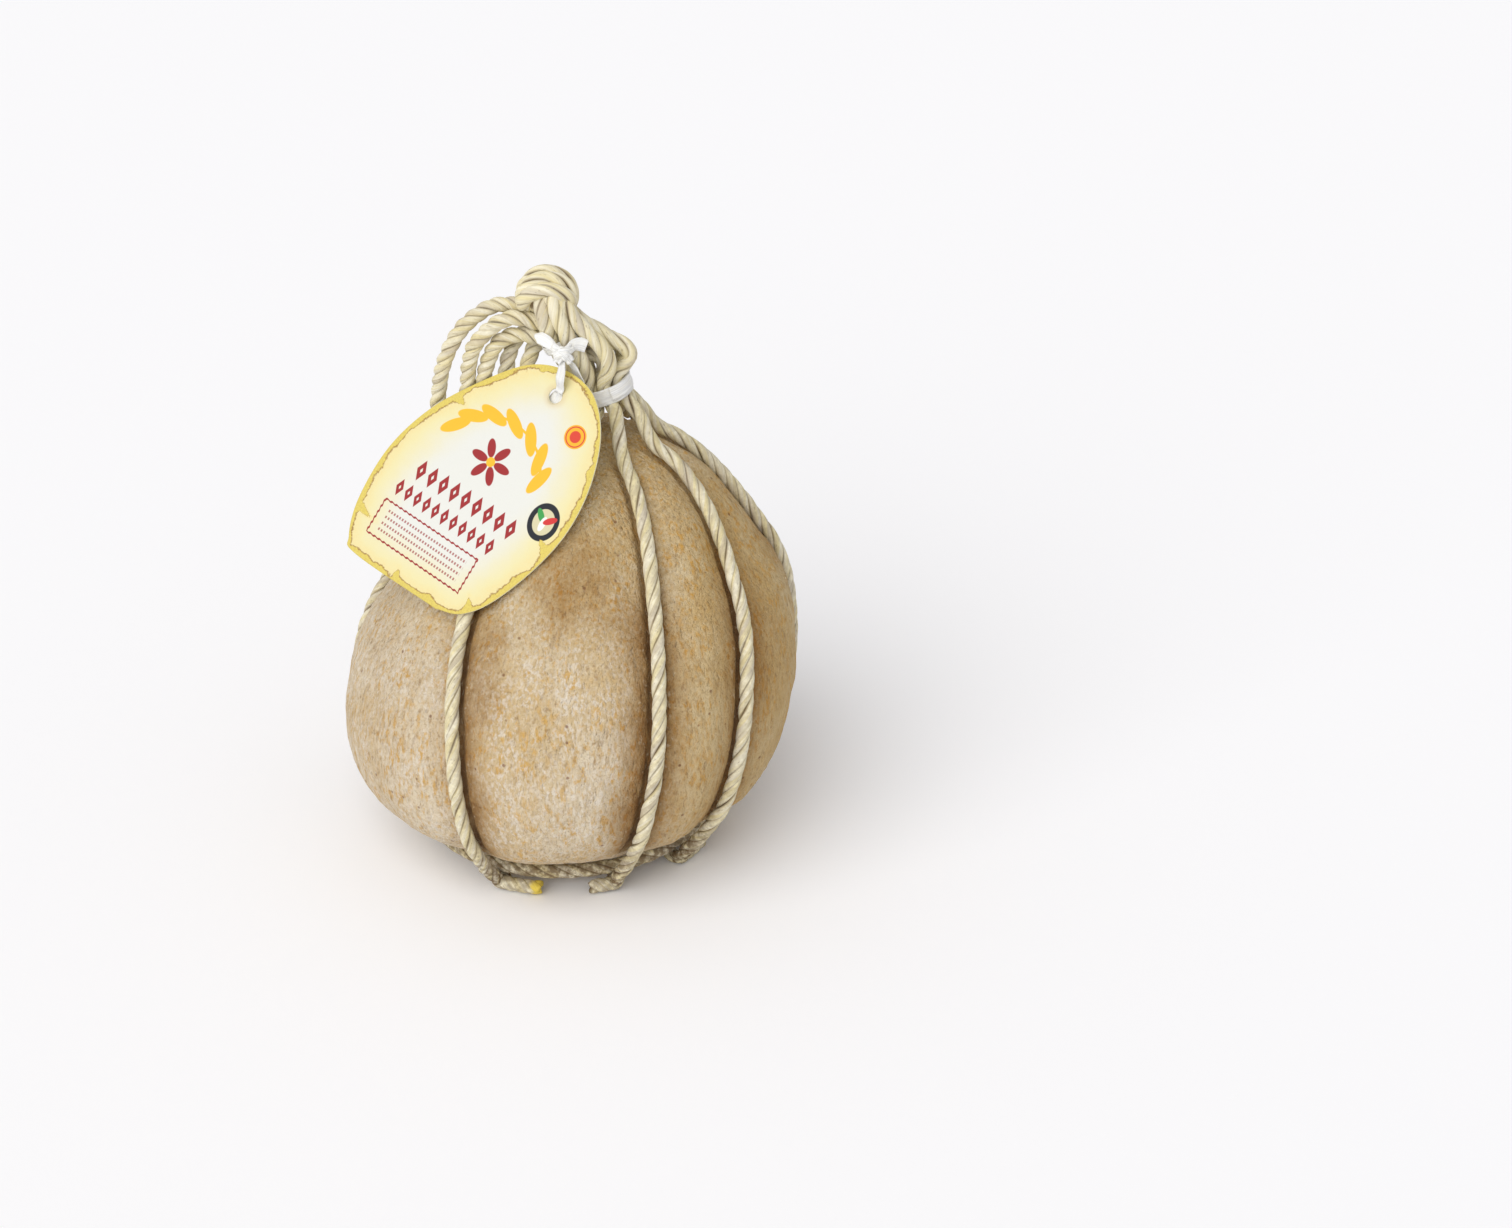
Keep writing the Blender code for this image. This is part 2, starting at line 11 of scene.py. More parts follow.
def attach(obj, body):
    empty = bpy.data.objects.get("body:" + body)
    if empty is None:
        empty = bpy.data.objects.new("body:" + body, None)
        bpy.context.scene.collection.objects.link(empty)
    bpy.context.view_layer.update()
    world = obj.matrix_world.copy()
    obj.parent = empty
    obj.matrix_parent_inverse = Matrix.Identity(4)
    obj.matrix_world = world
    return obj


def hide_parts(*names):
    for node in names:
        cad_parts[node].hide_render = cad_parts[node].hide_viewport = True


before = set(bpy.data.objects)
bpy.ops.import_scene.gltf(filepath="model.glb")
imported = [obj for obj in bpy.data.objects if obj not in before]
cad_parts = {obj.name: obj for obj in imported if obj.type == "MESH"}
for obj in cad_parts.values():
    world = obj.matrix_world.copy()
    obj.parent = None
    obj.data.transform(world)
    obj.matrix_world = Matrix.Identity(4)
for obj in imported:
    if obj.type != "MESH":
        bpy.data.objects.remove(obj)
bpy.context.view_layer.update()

MM = 0.001
BODY = "root"

# The cheese: its outline between two ropes as (radius, height), and its axis's lean, in millimetres.
RIDGE_LINE = (
    (36.0, 0.0), (40.2, 1.0), (44.4, 4.0), (47.6, 8.0), (51.6, 11.8), (57.5, 14.8), (63.0, 17.0),
    (68.6, 20.0), (74.4, 24.0), (79.7, 29.2), (83.7, 36.0), (86.5, 44.0), (88.1, 53.0), (88.9, 62.0),
    (88.4, 73.0), (86.4, 84.5), (82.3, 98.0), (75.0, 114.0), (64.0, 130.0), (52.5, 146.0),
    (42.5, 157.5), (32.5, 166.0), (21.5, 171.8), (10.5, 175.0), (0.0, 176.0),
)
AXIS_LEAN = ((0.0, -2.0), (40.0, -2.2), (80.0, 2.9), (120.0, 11.0), (160.0, 13.2), (190.0, 14.0))
GROOVE_DEPTH = 4.2
GROOVE_STARTS = 18.0
GROOVE_IS_FULL = 29.0
FULL_GROOVE_RADIUS = 35.0
LOBE_BULGE = 1.2
VALLEY_REACH = 11.0
SHADE_AND_GRIME_REACH = 12.0
# How much painted valley shade and grime each lobe gets beside the rope that it starts from and beside the next one;
# 1.0 where not given
SHADE_AND_SOIL_SIDES = {"left": (0.9, 0.62), "front_left": (1.0, 1.1), "front_right": (0.95, 0.9)}
# Brown stains on the rind, the first of them a real brown patch with the tag's painted shadow over it: (place, radius,
# share), in millimetres
STAINS_AND_TAG_SHADOW = (
    ((6.0, -58.0, 139.0), 25.0, 0.72), ((27.0, -66.0, 121.0), 15.0, 0.5), ((27.0, -84.0, 52.0), 15.0, 0.5),
    ((30.0, -82.0, 84.0), 14.0, 0.4), ((-29.0, -80.0, 56.0), 11.0, 0.5), ((-26.0, -74.0, 99.0), 13.0, 0.6),
    ((-23.0, -66.0, 120.0), 11.0, 0.5), ((66.0, -40.0, 96.0), 30.0, 0.4), ((-66.0, -52.0, 78.0), 36.0, 0.2),
    ((-70.0, -28.0, 108.0), 20.0, 0.2), ((40.0, 76.0, 70.0), 24.0, 0.5), ((-30.0, 70.0, 110.0), 20.0, 0.5),
    ((-74.0, 40.0, 50.0), 18.0, 0.45), ((84.0, 10.0, 120.0), 26.0, 0.5),
)
RIND_ROWS = 232
RIND_COLUMNS_PER_LOBE = 56

# Rope, in millimetres
ROPE_RADIUS = 2.8
STRAND_THICK = 1.36
STRAND_WIDE = 1.8
STRAND_OFFSET = 1.46
ROPE_LIFT = 3.95
GAP = 0.4
BODY_LAY = 25.5
LOOP_LAY = 16.0
NECK_LAY = 27.0
AZIMUTH_HEIGHTS = (6.0, 16.0, 38.0, 80.0, 120.0, 165.0)
NET_AZIMUTHS = {
    "front_left": (-24.0, -23.6, -22.9, -28.8, -40.0, -53.0),
    "front_right": (21.0, 21.6, 23.2, 23.9, 22.2, 27.0),
    "right_front": (50.0, 50.0, 50.0, 51.0, 54.5, 68.0),
    "right_back": (98.0, 98.5, 99.0, 100.0, 102.0, 108.0),
    "back_right": (151.0, 150.5, 150.0, 149.0, 149.0, 154.0),
    "back_left": (203.0, 202.5, 202.0, 200.0, 200.0, 203.0),
    "left": (258.0, 257.5, 257.0, 256.0, 254.0, 252.0),
}
ABOVE_BAND = {
    "front_left": (
        (11.3, -6.1, 198.6), (9.3, -7.4, 205.0), (5.6, -8.2, 212.5), (2.4, -8.8, 220.6), (0.0, -8.0, 227.0), (-1.6, -6.2, 231.5),
    ),
    "front_right": (
        (19.4, -7.6, 202.0), (18.0, -7.4, 209.2), (11.8, -7.0, 216.2), (6.8, -6.8, 222.0),
        (3.6, -6.4, 227.0), (1.4, -4.6, 231.5),
    ),
    "right_front": (
        (24.9, -1.2, 200.9), (27.2, -0.8, 204.6), (25.0, -0.6, 208.4), (18.6, -0.6, 212.0),
        (12.2, -0.2, 215.8), (7.0, 0.0, 220.0), (3.0, 0.0, 224.6),
    ),
    "right_back": (
        (24.2, 6.6, 201.6), (21.6, 7.2, 206.4), (15.2, 6.8, 211.0), (8.6, 6.4, 215.4), (4.8, 6.2, 219.6),
        (1.0, 4.6, 225.0),
    ),
    "back_right": (
        (14.6, 8.8, 202.0), (8.2, 10.4, 209.5), (1.8, 10.8, 215.6), (-1.6, 9.8, 221.0), (-2.4, 6.0, 226.0),
    ),
    "back_left": (
        (8.8, 6.8, 200.5), (3.4, 6.8, 206.5), (-1.6, 5.0, 213.0), (-3.0, 2.8, 220.8), (-3.2, 1.0, 226.0),
    ),
    "left": (
        (6.6, -1.0, 197.6), (2.4, -3.0, 203.8), (-1.6, -4.4, 211.2), (-3.4, -7.0, 220.4),
        (-4.6, -7.0, 226.0), (-4.8, -5.2, 231.0),
    ),
}
NECK_BIGHT = ((16.2, -0.4, 194.0), (17.2, -0.8, 200.5), (14.4, -1.0, 204.8), (10.6, -0.6, 204.4))

# Tie band and the ropes' places in it
BAND_CENTRE = Vector((17.4, 0.0, 191.0))
BAND_TILT = math.radians(-18.0)
BAND_HEIGHT = 6.6
BAND_RADIUS = 10.15
FIRST_SLOT = -40.0
SLOT_RADIUS = (2.0 * ROPE_RADIUS + GAP) / (2.0 * math.sin(math.pi / 7))
SLOT_HALF_LENGTH = 4.5
GATHER_DROP = 7.5
GATHER_RADIUS = 12.2
LOW_SIDE_DROP = 7.4
LOW_SIDE_DRAW_IN = 2.4
TOP_OF_GROOVED_RUN = 171.0

# Base ring, hooks and cut ends
RING_RADIUS = 57.0
RING_HEIGHT = 9.2
HOOK_RADIUS = 2.0 * ROPE_RADIUS + GAP
HOOK_ANGLES = (-22.0, 0.0, 32.0, 62.0)
HOOK_EXIT = ((64.6, 9.6), (67.6, 13.0))
CUT_END_HEIGHT = 3.6
CUT_END_RADIUS = 60.4
CUT_ENDS = {
    "front_left": (3.3, 16.5),
    "front_right": (-3.3, -9.5),
    "right_front": (3.3, 14.0),
    "right_back": (-3.3, -16.0),
    "back_right": (3.3, 15.0),
    "back_left": (-3.3, -13.0),
    "left": (3.3, 16.0),
}

# Top knot: each turn's tilt up from the front in degrees, and its reach sideways, forward and up
KNOT_MIDDLE = Vector((-3.3, 0.4, 227.6))
KNOT_CORE = (8.6, 7.0, 7.4)
KNOT_SPREAD = 3.4
KNOT_FALL = 1.2
KNOT_TURNS = (
    (38.0, 8.6, 9.2, 9.6), (68.0, 9.0, 9.4, 9.8), (97.0, 9.0, 9.4, 9.9), (127.0, 8.8, 9.2, 9.6),
    (157.0, 8.6, 8.8, 8.8), (190.0, 8.2, 8.4, 8.0),
)

# Free rope from the knot
OUTER_LOOP = (
    (-4.8, 2.6, 219.6), (-9.6, 1.8, 222.4), (-15.0, 1.2, 224.0), (-20.0, 1.0, 224.4), (-26.0, 0.8, 222.8),
    (-34.6, 0.0, 216.2), (-40.6, 0.0, 207.0), (-44.2, 1.4, 197.0), (-46.0, 4.2, 187.0),
    (-47.5, 3.6, 176.0), (-49.0, 0.6, 163.0), (-46.8, -5.6, 153.8), (-43.4, -9.9, 150.6),
    (-38.9, -13.8, 150.4), (-34.2, -16.8, 153.4), (-28.0, -18.0, 162.4), (-22.0, -14.4, 171.5),
    (-17.0, -9.0, 181.5), (-13.6, -3.6, 192.0), (-11.7, -0.8, 199.6), (-9.9, 1.4, 204.8),
    (-7.2, 3.2, 208.6), (-3.8, 4.4, 211.2),
)
INNER_LOOP = (
    (-4.6, -2.2, 217.4), (-9.2, -3.4, 219.7), (-14.0, -4.3, 221.2), (-18.6, -4.5, 220.7),
    (-22.7, -4.4, 218.5), (-26.3, -4.1, 215.2),
    (-31.2, -3.4, 208.8), (-33.8, -0.8, 199.0), (-34.8, 1.6, 189.5), (-37.4, 3.4, 180.5),
    (-39.8, 4.2, 172.0), (-39.0, 2.6, 166.2), (-36.2, 0.0, 162.8), (-32.4, -3.5, 162.0),
    (-28.4, -6.1, 163.9), (-25.0, -7.2, 168.4), (-22.6, -6.2, 174.6), (-21.3, -3.6, 182.0),
    (-20.6, -1.0, 190.0), (-19.7, 1.1, 197.8),
    (-18.0, 2.4, 205.0), (-15.6, 3.5, 209.2), (-12.2, 4.4, 212.4), (-8.3, 5.1, 214.4),
    (-4.4, 5.4, 215.6),
)
SPARE_END = (
    (-4.6, -1.2, 211.4), (-9.0, -2.4, 213.1), (-13.2, -3.0, 214.0), (-17.2, -3.1, 213.5), (-20.9, -2.9, 211.5),
    (-23.8, -2.4, 208.0), (-27.2, -0.6, 199.2), (-28.6, 0.0, 190.6), (-28.8, -1.4, 182.0),
)

# Tag, in its own plane
TAG_FACES = (-25.8, 35.1)
TAG_TURN = math.radians(-18.3)
TAG_CENTRE = Vector((-28.8, -29.0, 162.0))
TAG_THICKNESS = 0.8
TAG_OUTLINE = (
    (10.0, -46.4), (20.0, -42.8), (28.5, -32.8), (36.5, -14.0), (40.4, 5.0), (38.6, 24.0),
    (31.5, 41.5), (20.0, 52.8), (5.0, 55.0), (-10.0, 49.0), (-24.7, 32.7), (-36.5, 14.5),
    (-43.0, -6.0), (-42.8, -28.0), (-38.0, -42.0), (-31.0, -46.4),
)
TAG_HOLE = (7.0, 45.0)
TAG_HOLE_RADIUS = 2.9
# Scorched nicks in the printed rim, as (share of the way round, depth, slant)
TAG_NICKS = (
    (0.045, 6.0, 2.0), (0.17, 7.0, 2.4), (0.29, 3.0, -1.5), (0.47, 2.6, 1.0), (0.60, 6.5, -2.6),
    (0.79, 9.5, 3.0), (0.93, 5.0, -1.2),
)

# Ribbon that ties the tag on
RIBBON_WIDTH = 3.6
WRAP_CENTRE = Vector((2.0, -6.55, 211.3))
WRAP_AXIS = Vector((0.45, 0.13, -0.88))
WRAP_ALONG = Vector((0.89, -0.45, 0.0))
WRAP_HALF_SPAN = 4.5
WRAP_RADIUS = 3.5
RIBBON_KNOT = Vector((2.9, -14.3, 210.9))
LEFT_ARM = (
    ((-7.7, -8.4, 216.0), 1.2), ((-5.6, -9.8, 215.6), 4.6), ((-3.0, -11.6, 214.8), 4.6),
    ((-0.6, -13.2, 213.4), 3.4), ((2.0, -14.2, 211.6), 2.6),
)
RIGHT_ARM = (
    ((11.6, -10.4, 212.4), 4.8), ((9.4, -10.8, 213.4), 5.2), ((7.2, -11.8, 213.6), 4.4),
    ((5.4, -13.2, 212.6), 3.2), ((3.8, -14.2, 211.4), 2.6),
)
TAIL_TO_HOLE = ((2.8, -15.3, 209.0), (2.6, -16.7, 206.0), (1.8, -18.0, 202.0))
TAIL_BEHIND = ((4.6, -13.4, 209.2), (6.4, -12.9, 205.6), (8.0, -12.4, 201.8), (9.2, -11.6, 198.0))

KEY_HEADING = (0.43, 0.74, -0.78)
KEY_STRENGTH = 2.05
KEY_SPREAD = 64.0
ROOM_LIGHT = 0.56


def tone(red, green, blue):
    """A colour given in ordinary 0 to 255 screen values, as the shader's own."""
    def straight(value):
        share = value / 255.0
        return share / 12.92 if share <= 0.04045 else ((share + 0.055) / 1.055) ** 2.4
    return (straight(red), straight(green), straight(blue), 1.0)


CARD_WHITE = tone(218, 218, 211)
CARD_CREAM = tone(224, 214, 160)
CARD_TOAST = tone(228, 200, 130)
CARD_EDGE = tone(217, 198, 97)
CARD_EDGE_DARK = tone(201, 179, 85)
CARD_GOLD = tone(232, 180, 34)
CARD_RED = tone(150, 27, 30)
RIND_TAN = tone(207, 184, 144)
RIND_CREAM = tone(218, 203, 176)
RIND_SHADE = tone(180, 150, 104)
RIND_OCHRE = tone(204, 158, 74)
RIND_BROWN = tone(150, 118, 80)
RIND_BLOOM = tone(226, 217, 204)
RIND_STAIN_AND_SHADE = tone(196, 168, 118)
RIND_WARM_AND_SHADE = tone(240, 228, 194)
RIND_GRIME = tone(118, 86, 52)


# ---------------------------------------------------------------- camera and light

def place_camera():
    lens = bpy.data.cameras.new("camera")
    lens.lens = 70.0
    lens.sensor_width = 36.0
    lens.clip_end = 50.0
    camera = bpy.data.objects.new("camera", lens)
    camera.location = (0.07462, -1.01491, 0.65539)
    camera.rotation_euler = (math.radians(61.0), 0.0, 0.0)
    bpy.context.scene.collection.objects.link(camera)
    bpy.context.scene.camera = camera


def soft_sun(name, heading, strength, spread, colour=(1.0, 1.0, 1.0)):
    data = bpy.data.lights.new(name, "SUN")
    data.energy = strength
    data.angle = math.radians(spread)
    data.color = colour
    lamp = bpy.data.objects.new(name, data)
    lamp.rotation_euler = Vector(heading).to_track_quat("-Z", "Y").to_euler()
    bpy.context.scene.collection.objects.link(lamp)


def studio():
    scene = bpy.context.scene
    scene.view_settings.view_transform = "Standard"
    scene.view_settings.look = "None"
    scene.view_settings.exposure = 0.0
    scene.view_settings.gamma = 1.0
    world = bpy.data.worlds.new("soft_room")
    world.use_nodes = True
    room = world.node_tree.nodes["Background"]
    room.inputs["Color"].default_value = (0.995, 0.988, 0.99, 1.0)
    room.inputs["Strength"].default_value = ROOM_LIGHT
    scene.world = world
    soft_sun("key", KEY_HEADING, KEY_STRENGTH, KEY_SPREAD)
    bm = bmesh.new()
    bmesh.ops.create_grid(bm, x_segments=1, y_segments=1, size=6.0)
    mesh = bpy.data.meshes.new("floor")
    bm.to_mesh(mesh)
    bm.free()
    floor = bpy.data.objects.new("floor", mesh)
    scene.collection.objects.link(floor)
    surface, tree, shader = finish("pale_floor")
    shader.inputs["Base Color"].default_value = (0.965, 0.962, 0.975, 1.0)
    shader.inputs["Roughness"].default_value = 0.9
    shader.inputs["Specular IOR Level"].default_value = 0.1
    mesh.materials.append(surface)


# ---------------------------------------------------------------- node helpers

def finish(name):
    made = bpy.data.materials.new(name)
    made.use_nodes = True
    return made, made.node_tree, made.node_tree.nodes["Principled BSDF"]


def node(tree, kind, values, **settings):
    made = tree.nodes.new(kind)
    for key, value in settings.items():
        setattr(made, key, value)
    for key, value in values.items():
        if isinstance(value, bpy.types.NodeSocket):
            tree.links.new(value, made.inputs[key])
        else:
            made.inputs[key].default_value = value
    return made


def maths(tree, operation, first, second=0.0, third=0.0):
    made = node(tree, "ShaderNodeMath", {0: first, 1: second, 2: third}, operation=operation)
    return made.outputs[0]


def between(tree, value, low, high, bottom=0.0, top=1.0):
    """The value's place from low to high, eased, as bottom to top."""
    values = {"Value": value, "From Min": low, "From Max": high, "To Min": bottom, "To Max": top}
    made = node(tree, "ShaderNodeMapRange", values, interpolation_type="SMOOTHSTEP")
    return made.outputs["Result"]


def mixed(tree, share, first, second, blend="MIX"):
    made = node(tree, "ShaderNodeMix", {0: share, 6: first, 7: second}, data_type="RGBA", blend_type=blend)
    return made.outputs[2]


def speckle(tree, place, scale, detail=3.0, rough=0.55, distortion=0.0):
    values = {"Vector": place, "Scale": scale, "Detail": detail, "Roughness": rough, "Distortion": distortion}
    return node(tree, "ShaderNodeTexNoise", values).outputs["Fac"]


def stretched(tree, place, scale, turn=(0.0, 0.0, 0.0), shift=(0.0, 0.0, 0.0)):
    values = {"Vector": place, "Location": shift, "Rotation": turn, "Scale": scale}
    return node(tree, "ShaderNodeMapping", values).outputs["Vector"]


def object_place(tree):
    return node(tree, "ShaderNodeTexCoord", {}).outputs["Object"]


def own_uv(tree):
    return node(tree, "ShaderNodeUVMap", {}, uv_map="UVMap").outputs["UV"]


def own_value(tree, name):
    return node(tree, "ShaderNodeAttribute", {}, attribute_name=name).outputs["Fac"]


def bumped(tree, shader, height, distance, strength=1.0, under=None):
    values = {"Height": height, "Distance": distance, "Strength": strength}
    if under is not None:
        values["Normal"] = under
    made = node(tree, "ShaderNodeBump", values)
    tree.links.new(made.outputs["Normal"], shader.inputs["Normal"])
    return made.outputs["Normal"]


# ---------------------------------------------------------------- finishes

def flecks(tree, place, scale, shift, low, high, amount):
    """Short upright flecks of the rind's grain, as a share from 0 to the amount."""
    grain = speckle(tree, stretched(tree, place, scale, shift=shift), 1.0, 2.0, 0.55, 0.4)
    return between(tree, grain, low, high, 0.0, amount)


def rind_stain_and_shadow(tree, place, spot, radius, share):
    """A soft round spot's share, for a stain or for the tag's painted shadow, from its middle out to its radius."""
    middle = tuple(value * MM for value in spot)
    moved = node(tree, "ShaderNodeVectorMath", {0: place, 1: middle}, operation="SUBTRACT").outputs[0]
    sized = node(tree, "ShaderNodeVectorMath", {0: moved, 1: (1.0, 1.0, 0.6)}, operation="MULTIPLY").outputs[0]
    far = node(tree, "ShaderNodeVectorMath", {0: sized}, operation="LENGTH").outputs["Value"]
    return between(tree, far, radius * MM, 0.2 * radius * MM, 0.0, share)


def rind_finish():
    """Dry rind: tan grain under a pale fleck, ochre and brown flecks, brown stains, grime beside the ropes, and
    painted shade in the valleys beside them, under the tag and on the right side and top.
    """
    made, tree, shader = finish("aged_rind")
    place = object_place(tree)
    apart = node(tree, "ShaderNodeSeparateXYZ", {"Vector": place})
    high = apart.outputs["Z"]
    groove = maths(tree, "MULTIPLY", own_value(tree, "groove"), between(tree, high, 0.1, 0.155, 1.0, 0.42))
    broad = speckle(tree, place, 26.0, 3.0, 0.55)
    patch = speckle(tree, stretched(tree, place, (70.0, 70.0, 40.0)), 1.0, 4.0, 0.6, 0.5)
    other = speckle(tree, stretched(tree, place, (90.0, 90.0, 55.0), shift=(9.0, 4.0, 2.0)), 1.0, 4.0, 0.6, 0.5)
    streak = speckle(tree, stretched(tree, place, (420.0, 420.0, 120.0)), 1.0, 4.0, 0.65)
    grain = speckle(tree, place, 1000.0, 3.0, 0.6)
    colour = mixed(tree, between(tree, broad, 0.36, 0.64), RIND_TAN, RIND_CREAM)
    colour = mixed(tree, between(tree, streak, 0.4, 0.66, 0.0, 0.4), colour, RIND_SHADE)
    ochre = flecks(tree, place, (500.0, 500.0, 210.0), (5.0, 2.0, 1.0), 0.48, 0.66, 0.8)
    ochre = maths(tree, "MULTIPLY", ochre, between(tree, patch, 0.4, 0.6, 0.3, 1.0))
    colour = mixed(tree, ochre, colour, RIND_OCHRE)
    brown = flecks(tree, place, (640.0, 640.0, 300.0), (1.0, 7.0, 4.0), 0.52, 0.7, 0.6)
    brown = maths(tree, "MULTIPLY", brown, between(tree, other, 0.6, 0.38, 0.25, 1.0))
    colour = mixed(tree, brown, colour, RIND_BROWN)
    pale = flecks(tree, place, (760.0, 760.0, 380.0), (3.0, 1.0, 7.0), 0.42, 0.66, 0.75)
    pale = maths(tree, "MULTIPLY", pale, between(tree, other, 0.36, 0.62, 0.25, 1.0))
    # Fewer pale flecks towards the right side: partly the rind's own tone, partly painted shade on the side away from
    # the light.
    pale = maths(tree, "MULTIPLY", pale, between(tree, apart.outputs["X"], 0.01, 0.07, 1.0, 0.35))
    colour = mixed(tree, pale, colour, RIND_BLOOM)
    colour = mixed(tree, between(tree, grain, 0.5, 0.7, 0.0, 0.4), colour, RIND_SHADE)
    pins = node(tree, "ShaderNodeTexVoronoi", {"Vector": place, "Scale": 170.0}, feature="F1")
    pin = between(tree, pins.outputs["Distance"], 0.15, 0.06)
    rare = node(tree, "ShaderNodeSeparateColor", {"Color": pins.outputs["Color"]})
    pin = maths(tree, "MULTIPLY", pin, between(tree, rare.outputs[0], 0.66, 0.74))
    colour = mixed(tree, maths(tree, "MULTIPLY", pin, 0.7), colour, tone(120, 76, 48))
    # Warmer, darker rind towards the right side and on the top shoulder: partly the rind's own tone, partly painted
    # shade.
    warm_and_shade = maths(tree, "MAXIMUM", between(tree, apart.outputs["X"], 0.02, 0.06, 0.0, 0.85),
                 between(tree, high, 0.1, 0.15, 0.0, 0.7))
    colour = mixed(tree, warm_and_shade, colour, RIND_WARM_AND_SHADE, "MULTIPLY")
    soil_and_shade_noise = speckle(tree, stretched(tree, place, (150.0, 150.0, 75.0), shift=(2.0, 8.0, 5.0)), 1.0, 6.0, 0.72)
    # Brown stains; the first is also the tag's painted shadow.
    for spot, radius, share in STAINS_AND_TAG_SHADOW:
        stain_and_shadow = rind_stain_and_shadow(tree, place, spot, radius, share)
        stain_and_shadow = maths(tree, "MULTIPLY", stain_and_shadow, between(tree, soil_and_shade_noise, 0.3, 0.62, 0.45, 1.0))
        colour = mixed(tree, stain_and_shadow, colour, RIND_STAIN_AND_SHADE, "MULTIPLY")
    # Painted shade: a wide brown darkening down the valleys beside the ropes.
    colour = mixed(tree, between(tree, groove, 0.12, 0.72, 0.0, 0.85), colour, RIND_STAIN_AND_SHADE, "MULTIPLY")
    # Grime in a narrower, blotchy band right beside the ropes.
    soiled = maths(tree, "MULTIPLY", between(tree, groove, 0.4, 0.86), between(tree, soil_and_shade_noise, 0.36, 0.6, 0.35, 1.0))
    colour = mixed(tree, maths(tree, "MULTIPLY", soiled, 0.9), colour, RIND_GRIME)
    crumbs = flecks(tree, place, (560.0, 560.0, 380.0), (6.0, 6.0, 3.0), 0.56, 0.74, 0.45)
    crumbs = maths(tree, "MULTIPLY", crumbs, between(tree, groove, 0.3, 0.6))
    colour = mixed(tree, crumbs, colour, tone(204, 188, 162))
    tree.links.new(colour, shader.inputs["Base Color"])
    shader.inputs["Roughness"].default_value = 0.8
    shader.inputs["Specular IOR Level"].default_value = 0.25
    under = bumped(tree, shader, patch, 0.002, 0.5)
    under = bumped(tree, shader, streak, 0.002, 0.9, under)
    bumped(tree, shader, grain, 0.0009, 0.9, under)
    return made


def rope_finish(name, pale, straw, grey, dirt_and_crease_shade_tone, dye):
    """Fibre rope: long fibres and grey or straw lengths in each strand, painted shade in the creases, and a marked
    darkening that is soil on most ropes and painted shade on the ring rope.
    """
    made, tree, shader = finish(name)
    uv = own_uv(tree)
    place = object_place(tree)
    fibres = speckle(tree, stretched(tree, uv, (0.1, 20.0, 1.0)), 1.0, 4.0, 0.6)
    yarns = speckle(tree, stretched(tree, uv, (0.035, 4.5, 1.0), shift=(3.0, 2.0, 0.0)), 1.0, 3.0, 0.5)
    lengths = speckle(tree, stretched(tree, uv, (0.05, 0.9, 1.0), shift=(8.0, 3.0, 0.0)), 1.0, 2.0, 0.5)
    slivers = speckle(tree, stretched(tree, uv, (0.4, 12.0, 1.0), shift=(7.0, 5.0, 0.0)), 1.0, 3.0, 0.6)
    colour = mixed(tree, between(tree, yarns, 0.36, 0.64), pale, straw)
    colour = mixed(tree, between(tree, lengths, 0.5, 0.66, 0.0, 0.6), colour, grey)
    colour = mixed(tree, between(tree, fibres, 0.5, 0.72, 0.0, 0.35), colour, grey)
    colour = mixed(tree, between(tree, slivers, 0.58, 0.72, 0.0, 0.5), colour, dirt_and_crease_shade_tone)
    # Painted shade in the creases between the strands, in the dark dirt colour.
    crease = own_value(tree, "crease")
    colour = mixed(tree, maths(tree, "MULTIPLY", crease, 0.85), colour, dirt_and_crease_shade_tone)
    # A marked darkening in patches: soil on most ropes, painted shade on the ring rope under the cheese.
    dirt_and_shade = own_value(tree, "dirt_and_shade")
    smudge_and_shade_noise = speckle(tree, place, 420.0, 4.0, 0.6)
    dirt_and_shade = maths(tree, "MULTIPLY", dirt_and_shade, between(tree, smudge_and_shade_noise, 0.3, 0.62))
    colour = mixed(tree, dirt_and_shade, colour, dirt_and_crease_shade_tone)
    colour = mixed(tree, own_value(tree, "dye"), colour, dye)
    tree.links.new(colour, shader.inputs["Base Color"])
    shader.inputs["Roughness"].default_value = 0.7
    shader.inputs["Specular IOR Level"].default_value = 0.35
    under = bumped(tree, shader, yarns, 0.0008, 0.8)
    bumped(tree, shader, fibres, 0.0004, 0.9, under)
    return made


def ribbon_finish():
    """Milky split-film ribbon: fine ribs along it and a soft shine."""
    made, tree, shader = finish("milky_ribbon")
    uv = own_uv(tree)
    ribs = speckle(tree, stretched(tree, uv, (0.04, 4.5, 1.0)), 1.0, 3.0, 0.6)
    cloud = speckle(tree, stretched(tree, uv, (0.3, 0.5, 1.0)), 1.0, 3.0, 0.5)
    colour = mixed(tree, between(tree, ribs, 0.38, 0.62), tone(246, 246, 244), tone(222, 222, 220))
    colour = mixed(tree, between(tree, cloud, 0.4, 0.7, 0.0, 0.3), colour, tone(236, 230, 212))
    tree.links.new(colour, shader.inputs["Base Color"])
    shader.inputs["Roughness"].default_value = 0.34
    shader.inputs["Transmission Weight"].default_value = 0.0
    shader.inputs["Subsurface Weight"].default_value = 0.12
    shader.inputs["Subsurface Radius"].default_value = (0.002, 0.002, 0.002)
    bumped(tree, shader, ribs, 0.0003, 0.7)
    return made


def flat_distance(tree, uv, centre, stretch=(1.0, 1.0), turn=0.0):
    """Distance from a centre on the card, in millimetres, with the card's axes stretched and turned."""
    moved = node(tree, "ShaderNodeVectorMath", {0: uv, 1: (centre[0], centre[1], 0.0)}, operation="SUBTRACT")
    turned = stretched(tree, moved.outputs[0], (1.0, 1.0, 1.0), turn=(0.0, 0.0, -turn))
    sized = stretched(tree, turned, (stretch[0], stretch[1], 1.0))
    return node(tree, "ShaderNodeVectorMath", {0: sized}, operation="LENGTH").outputs["Value"]


